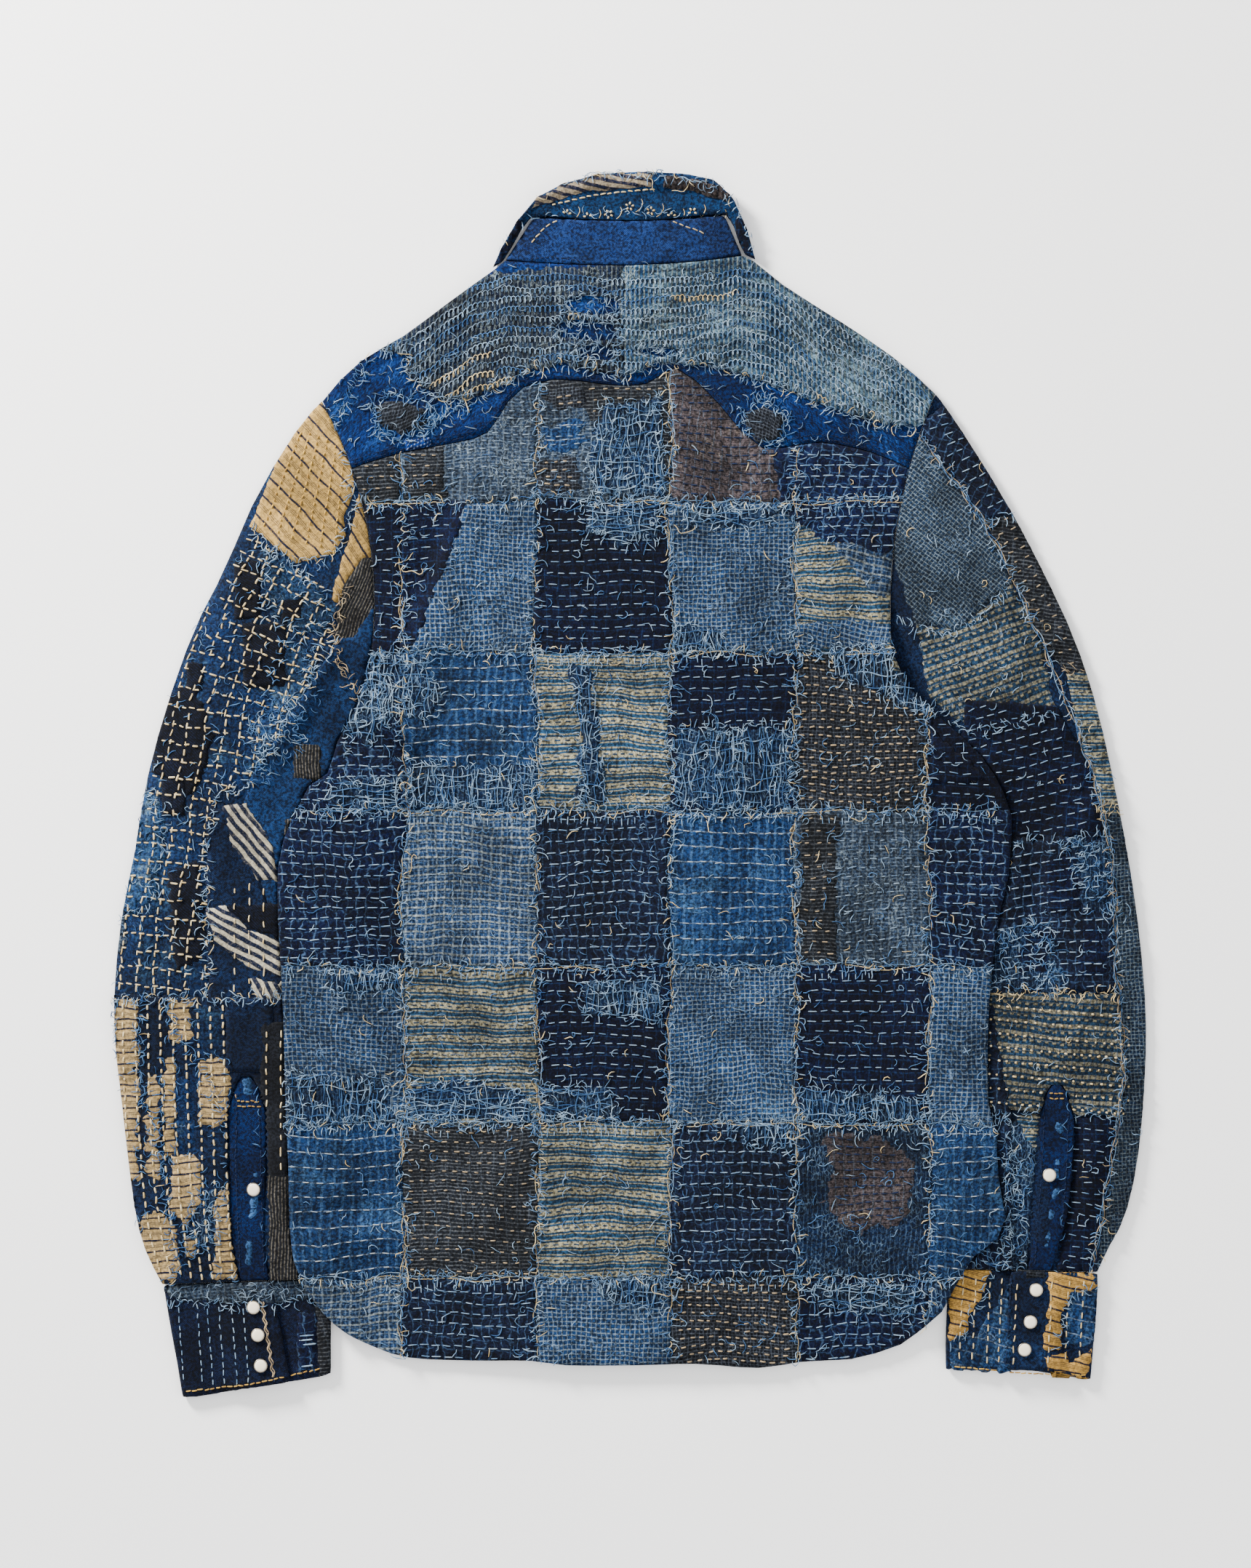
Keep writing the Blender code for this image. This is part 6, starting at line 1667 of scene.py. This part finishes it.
# The sleeve plackets
placketSettings = {
    "left": {"name": "placketLeftCloth", "node": "sleeve_placket_left", "lean": 5, "rows": [[(-270, -200),
        (-271, -260), (-268, -336)], [(-256, -200), (-254, -260), (-252, -336)]], "box": [(-272, -216),
        (-252, -217)], "point": [(-271, -216), (-272, -201), (-264, -194), (-254, -200)],
        "streaks": [[(-266, -200), (-261, -199), (-259, -212), (-266, -213)], [(-260, -262), (-257, -252),
        (-255, -280), (-259, -304), (-263, -296), (-261, -280)], [(-264, -312), (-259, -310), (-260, -330),
        (-265, -330)]]},
    "right": {"name": "placketRightCloth", "node": "sleeve_placket_right", "lean": -5,
        "rows": [[(286, -196), (283, -260), (278, -328)], [(301, -196), (300, -260), (294, -328)]],
        "box": [(286, -211), (303, -211)], "point": [(287, -211), (287, -202), (294, -199), (302, -203)],
        "streaks": [[(292, -218), (296, -216), (297, -240), (293, -238)], [(292, -256), (296, -252),
        (294, -284), (289, -300), (287, -296), (291, -276)], [(285, -306), (290, -304), (288, -318),
        (284, -318)]]},
}


def makePlacket(side):
    s = placketSettings[side]
    sheet = refineSolid(dict(s, longest=5.0, hull=True, fabric="darkDenim", toWeave=leanWeave(s["lean"]),
                             patchRelief=puckers, relief=lambda x, y: 0.2 * softNoise(x, y, 75, 16.0)))
    for outline in s["streaks"]:
        layPatch(sheet, "wornStreak", outline, s["lean"], 0.12, 0.9)
    for line in s["rows"]:
        sewRow(sheet, "navy", smoothRoute(line, 4.0), 2.4, 0.9, 0.1, 0.8)
    sewRow(sheet, "tan", s["point"], 2.4, 0.8, 0.1, 0.9)
    sheet["parts"] = [joinPatches(sheet, s["name"].replace("Cloth", "Patches"))]
    frayAlong(sheet, "midBlue", smoothRoute(s["rows"][1], 4.0), 6.0, 3.0, seed=940)
    for up in (0.0, -3.4):
        line = [(x, y + up) for x, y in s["box"]]
        sewRow(sheet, "gold", line, 2.6, 0.7, 0.1, 1.0)
    return sheet


# The collar: stand and leaf
standSettings = {"name": "collarStandCloth", "node": "collar_stand", "longest": 5.0, "fabric": "standDenim"}
leafSettings = {"name": "collarLeafCloth", "node": "collar_leaf", "longest": 5.0, "fabric": "sprigBlue"}


def makeStand():
    sheet = refineSolid(dict(standSettings, toWeave=leanWeave(0), patchRelief=puckers,
                             relief=lambda x, y: 0.3 * softNoise(x, y, 76, 20.0)))
    line = smoothRoute([(-70, 372), (-56, 386), (-40, 391), (-8, 390), (22, 390), (52, 380)], 4.0)
    sewRow(sheet, "cream", line, 3.6, 1.4, 0.15, 1.0)
    seam = [(-84, 352), (-57, 361), (-4, 354), (40, 357), (74, 352)]
    for up in (0.0, 3.0):
        line = smoothRoute([(x, y + up) for x, y in seam], 4.0)
        sewRow(sheet, "navy", line, 2.6, 1.0, 0.1, 0.8)
    return sheet


def makeLeaf():
    sheet = refineSolid(dict(leafSettings, toWeave=plainWeave, patchRelief=lambda x, y, seed: 0 * x,
                             relief=lambda x, y: 0.3 * softNoise(x, y, 77, 20.0)))
    layPatch(sheet, "collarTick", [(-74, 394), (-60, 400), (-30, 409), (14, 412), (16, 426), (-24, 426),
                                   (-60, 418), (-80, 404)], -12, 0.5, 0.5, 2.4)
    layPatch(sheet, "ruchedBrown", [(22, 411), (44, 409), (66, 402), (70, 409), (48, 417), (24, 420)],
             -8, 0.9, 0.6, 2.4)
    layPatch(sheet, "midnight", [(-94, 352), (-82, 352), (-74, 392), (-84, 400), (-98, 376)],
             0, 0.3, 0.3, 2.4)
    layPatch(sheet, "midnight", [(76, 352), (90, 352), (88, 386), (76, 398), (72, 388)], 0, 0.3, 0.3, 2.4)
    draw = random.Random(31)
    for k in range(9):      # small sprigs of five cream petals
        x, y = -58 + 14.4 * k, 396 + 3 * math.sin(k * 1.9) - abs(k - 4.4) ** 2 * 0.45
        turn = draw.uniform(0, 1.2)
        for petal in range(5):
            a = turn + petal * 2 * math.pi / 5
            ends = [(x + reach * math.cos(a), y + reach * math.sin(a)) for reach in (1.3, 3.1)]
            addStitch(sheet, "cream", ends, 1.5)
        bow = [(x + 4, y - 4), (x + 7, y - 2), (x + 9, y + 2), (x + 8, y + 5)]
        addStrand(sheet, "cream", smoothRoute(bow, 1.5), 0.05, 0.3)
    line = smoothRoute([(-56, 399), (-26, 406), (0, 409), (20, 411)], 3.0)
    sewRow(sheet, "cream", line, 3.4, 1.6, 0.2, 1.2)
    for x, y in [(-66, 408), (-20, 418), (11, 417), (40, 414), (-84, 388)]:
        addStrand(sheet, "cream", curl(x, y, draw.uniform(0, 6.3), draw.uniform(8, 18), draw), 0.9, 0.28)
    ridge = smoothRoute([(-90, 372), (-80, 396), (-60, 413), (-24, 421), (20, 420), (56, 412), (78, 394),
                         (86, 372)], 3.0)
    fraysAlong(sheet, ridge, [("paleBlue", 2.4, 6.0, 930), ("greyBlue", 3.4, 6.0, 931),
                              ("cream", 9.0, 6.0, 932)])
    lowerLine = smoothRoute([(-76, 388), (-50, 392), (0, 395), (50, 393), (72, 386)], 3.0)
    frayAlong(sheet, "paleBlue", lowerLine, 3.0, 5.0, seed=933)
    sheet["parts"] = [joinPatches(sheet, "collarLeafPatches")]
    return sheet


# The fronts and their band, which lie underneath
frontSettings = [
    {"name": "frontLeftCloth", "node": "front_left", "fabric": "frontCloth", "longest": 22.0,
        "folds": [(1.0, 10, 16, 24, [(-180, 160), (-150, 40), (-170, -90)]), (0.9, 12, 10, 24, [(-90, 120),
        (-110, -60), (-80, -230)]), (0.9, 10, 12, 20, [(-210, -120), (-180, -230), (-190, -330)])]},
    {"name": "frontRightCloth", "node": "front_right", "fabric": "frontCloth", "longest": 26.0,
        "folds": [(1.0, 16, 10, 24, [(190, 150), (160, 20), (182, -100)]), (0.9, 10, 12, 24, [(80, 150),
        (110, -40), (86, -220)]), (0.9, 12, 10, 20, [(210, -140), (184, -240), (196, -330)])]},
    {"name": "frontBandCloth", "node": "front_band", "fabric": "darkDenim", "longest": 16.0, "folds": []},
]


def makeFront(s):
    return refineSolid(dict(s, toWeave=plainWeave, smooth=0,
                            underRelief=lambda x, y: creaseHeight(s["folds"], x, y)))


# Pearl snaps: a cream cap in a darker metal rim
snapSettings = {
    "sides": 28, "rimRows": 6,
    "profile": [(0.0, 0.0), (0.98, 0.0), (1.0, 0.3), (0.97, 0.62), (0.9, 0.7), (0.86, 0.62), (0.84, 0.6),
                (0.78, 0.78), (0.6, 0.92), (0.34, 0.99), (0.0, 1.0)],      # share of the radius and height
}


def pearlMaterials():
    pearl, tree = newMaterial("pearl")
    shader = tree.nodes["Principled BSDF"]
    place = addNode(tree, "ShaderNodeTexCoord").outputs["Object"]
    cloud = noiseAt(tree, place, 0.006, 3.0, 0.6).outputs["Fac"]
    tree.links.new(mixColour(tree, cloud, tone("#d8c9a4"), tone("#f6efdf")), shader.inputs["Base Color"])
    shader.inputs["Roughness"].default_value = 0.16
    shader.inputs["Coat Weight"].default_value = 0.6
    shader.inputs["Sheen Weight"].default_value = 0.1
    metal, tree = newMaterial("snapRim")
    shader = tree.nodes["Principled BSDF"]
    shader.inputs["Base Color"].default_value = tone("#8b8376")
    shader.inputs["Metallic"].default_value = 1.0
    shader.inputs["Roughness"].default_value = 0.34
    return [pearl, metal]


def makeSnaps():
    materialsUsed, sides, profile = pearlMaterials(), snapSettings["sides"], snapSettings["profile"]
    for name in sorted(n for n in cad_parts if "snap" in n):
        low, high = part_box(name)
        x, y = (low[0] + high[0]) / 2, (low[1] + high[1]) / 2
        radius, base, top = (high[0] - low[0]) / 2, low[2], high[2]
        if name.startswith("front"):      # these face the floor
            base, top = top, base
        tall = top - base
        points, faces, marks = [], [], []
        for r, h in profile:
            for n in range(sides):
                a = 2 * math.pi * n / sides
                points.append((x + radius * r * math.cos(a), y + radius * r * math.sin(a), base + tall * h))
        for k in range(len(profile) - 1):
            for n in range(sides):
                a, b = k * sides + n, k * sides + (n + 1) % sides
                face = [a, b, b + sides, a + sides]
                faces.append(face if tall > 0 else face[::-1])
                marks.append(0 if k >= snapSettings["rimRows"] else 1)
        snap = newObject(name + "Pearl", points, faces, materialsUsed, marks)
        shape = bmesh.new()
        shape.from_mesh(snap.data)
        bmesh.ops.remove_doubles(shape, verts=shape.verts, dist=1e-6)
        bmesh.ops.dissolve_degenerate(shape, dist=1e-6, edges=shape.edges)
        shape.to_mesh(snap.data)
        shape.free()
        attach(snap, "root")
        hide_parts(name)
    print("snaps made")


# Camera, light and floor
viewSettings = {"scale": 0.5, "lens": 120.0, "sensor": 36.0, "high": 2156, "centre": (-3.25, 1.75)}


def makeStage():
    s = viewSettings
    frameHigh = s["high"] * s["scale"] * mm
    camera = bpy.data.cameras.new("camera")
    camera.lens, camera.sensor_width, camera.sensor_fit = s["lens"], s["sensor"], "AUTO"
    spot = placeObject("camera", camera)
    # The sensor spans the long side of the picture, which is its height
    distance = frameHigh / s["sensor"] * s["lens"]
    spot.location = (s["centre"][0] * mm, s["centre"][1] * mm, distance + 0.008)
    camera.clip_end = 50.0
    bpy.context.scene.camera = spot
    mesh = bpy.data.meshes.new("floor")
    wide = 6.0
    mesh.from_pydata([(x, y, 0) for x, y in box4(-wide, wide, -wide, wide)], [], [(0, 1, 2, 3)])
    floor = placeObject("floor", mesh)
    floor.location = (0, 0, -0.0002)
    pale, tree = newMaterial("paleFloor")
    shader = tree.nodes["Principled BSDF"]
    shader.inputs["Base Color"].default_value = (0.97, 0.97, 0.97, 1)
    shader.inputs["Roughness"].default_value = 0.9
    shader.inputs["Specular IOR Level"].default_value = 0.1
    mesh.materials.append(pale)
    floor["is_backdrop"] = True
    lights = [   # place, size, power, colour
        ((-1.7, 1.7, 0.95), 0.55, 285.0, (1.0, 0.985, 0.96)),
        ((1.9, -0.6, 1.8), 2.2, 24.0, (0.96, 0.98, 1.0)),
        ((0.0, -2.0, 2.0), 2.0, 20.0, (1.0, 1.0, 1.0)),
    ]
    for k, (place, size, power, colour) in enumerate(lights):
        lamp = bpy.data.lights.new(f"softLight{k + 1}", "AREA")
        lamp.size, lamp.energy, lamp.color = size, power, colour
        holder = placeObject(f"softLight{k + 1}", lamp)
        holder.location = place
        holder.rotation_euler = (Vector((0, 0, 0)) - Vector(place)).to_track_quat("-Z", "Y").to_euler()
    world = bpy.data.worlds.new("studio")
    world.use_nodes = True
    world.node_tree.nodes["Background"].inputs[0].default_value = (1.0, 1.0, 1.0, 1)
    world.node_tree.nodes["Background"].inputs[1].default_value = 1.3
    bpy.context.scene.world = world
    print("stage ready")


makeStage()
back = makeBack()
yoke = makeYoke()
cuffs = [makeCuff("left"), makeCuff("right")]
plackets = [makePlacket("left"), makePlacket("right")]
covers = [back["loop"][::2], yoke["loop"][::2]] + [spread(s["loop"], -0.8)[::2] for s in cuffs]
covers += [spread(s["loop"], 1.0)[::2] for s in plackets]
sleeveLeft = makeLeftSleeve(covers)
sleeveRight = makeRightSleeve(covers)
stand, leaf = makeStand(), makeLeaf()
fronts = [makeFront(s) for s in frontSettings]
makeSnaps()

# Stitches and threads of each colour, in a few pieces that each ride with their cloth
groups = {"back": [back], "yoke": [yoke], "sleeveLeft": [sleeveLeft], "sleeveRight": [sleeveRight],
          "cuffs": cuffs + plackets, "collar": [stand, leaf]}
for label, sheets in groups.items():
    for colour in threads:
        for made in (makeStitches(sheets, colour, f"{label}{colour}Stitches"),
                     makeStrands(sheets, colour, f"{label}{colour}Threads")):
            if made is not None:
                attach(made, "root")
                sheets[0]["parts"].append(made)

# Each cloth and its parts go under the root, and the solid it was made from is hidden
cloths = [back, yoke, sleeveLeft, sleeveRight] + cuffs + plackets + [stand, leaf] + fronts
for sheet in cloths:
    for part in [sheet["object"]] + sheet["parts"]:
        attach(part, "root")
    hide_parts(sheet["node"])

total = 0
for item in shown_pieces():
    if item.type == "MESH":
        item.data.calc_loop_triangles()
        total += len(item.data.loop_triangles)
print("triangles in all pieces", total)
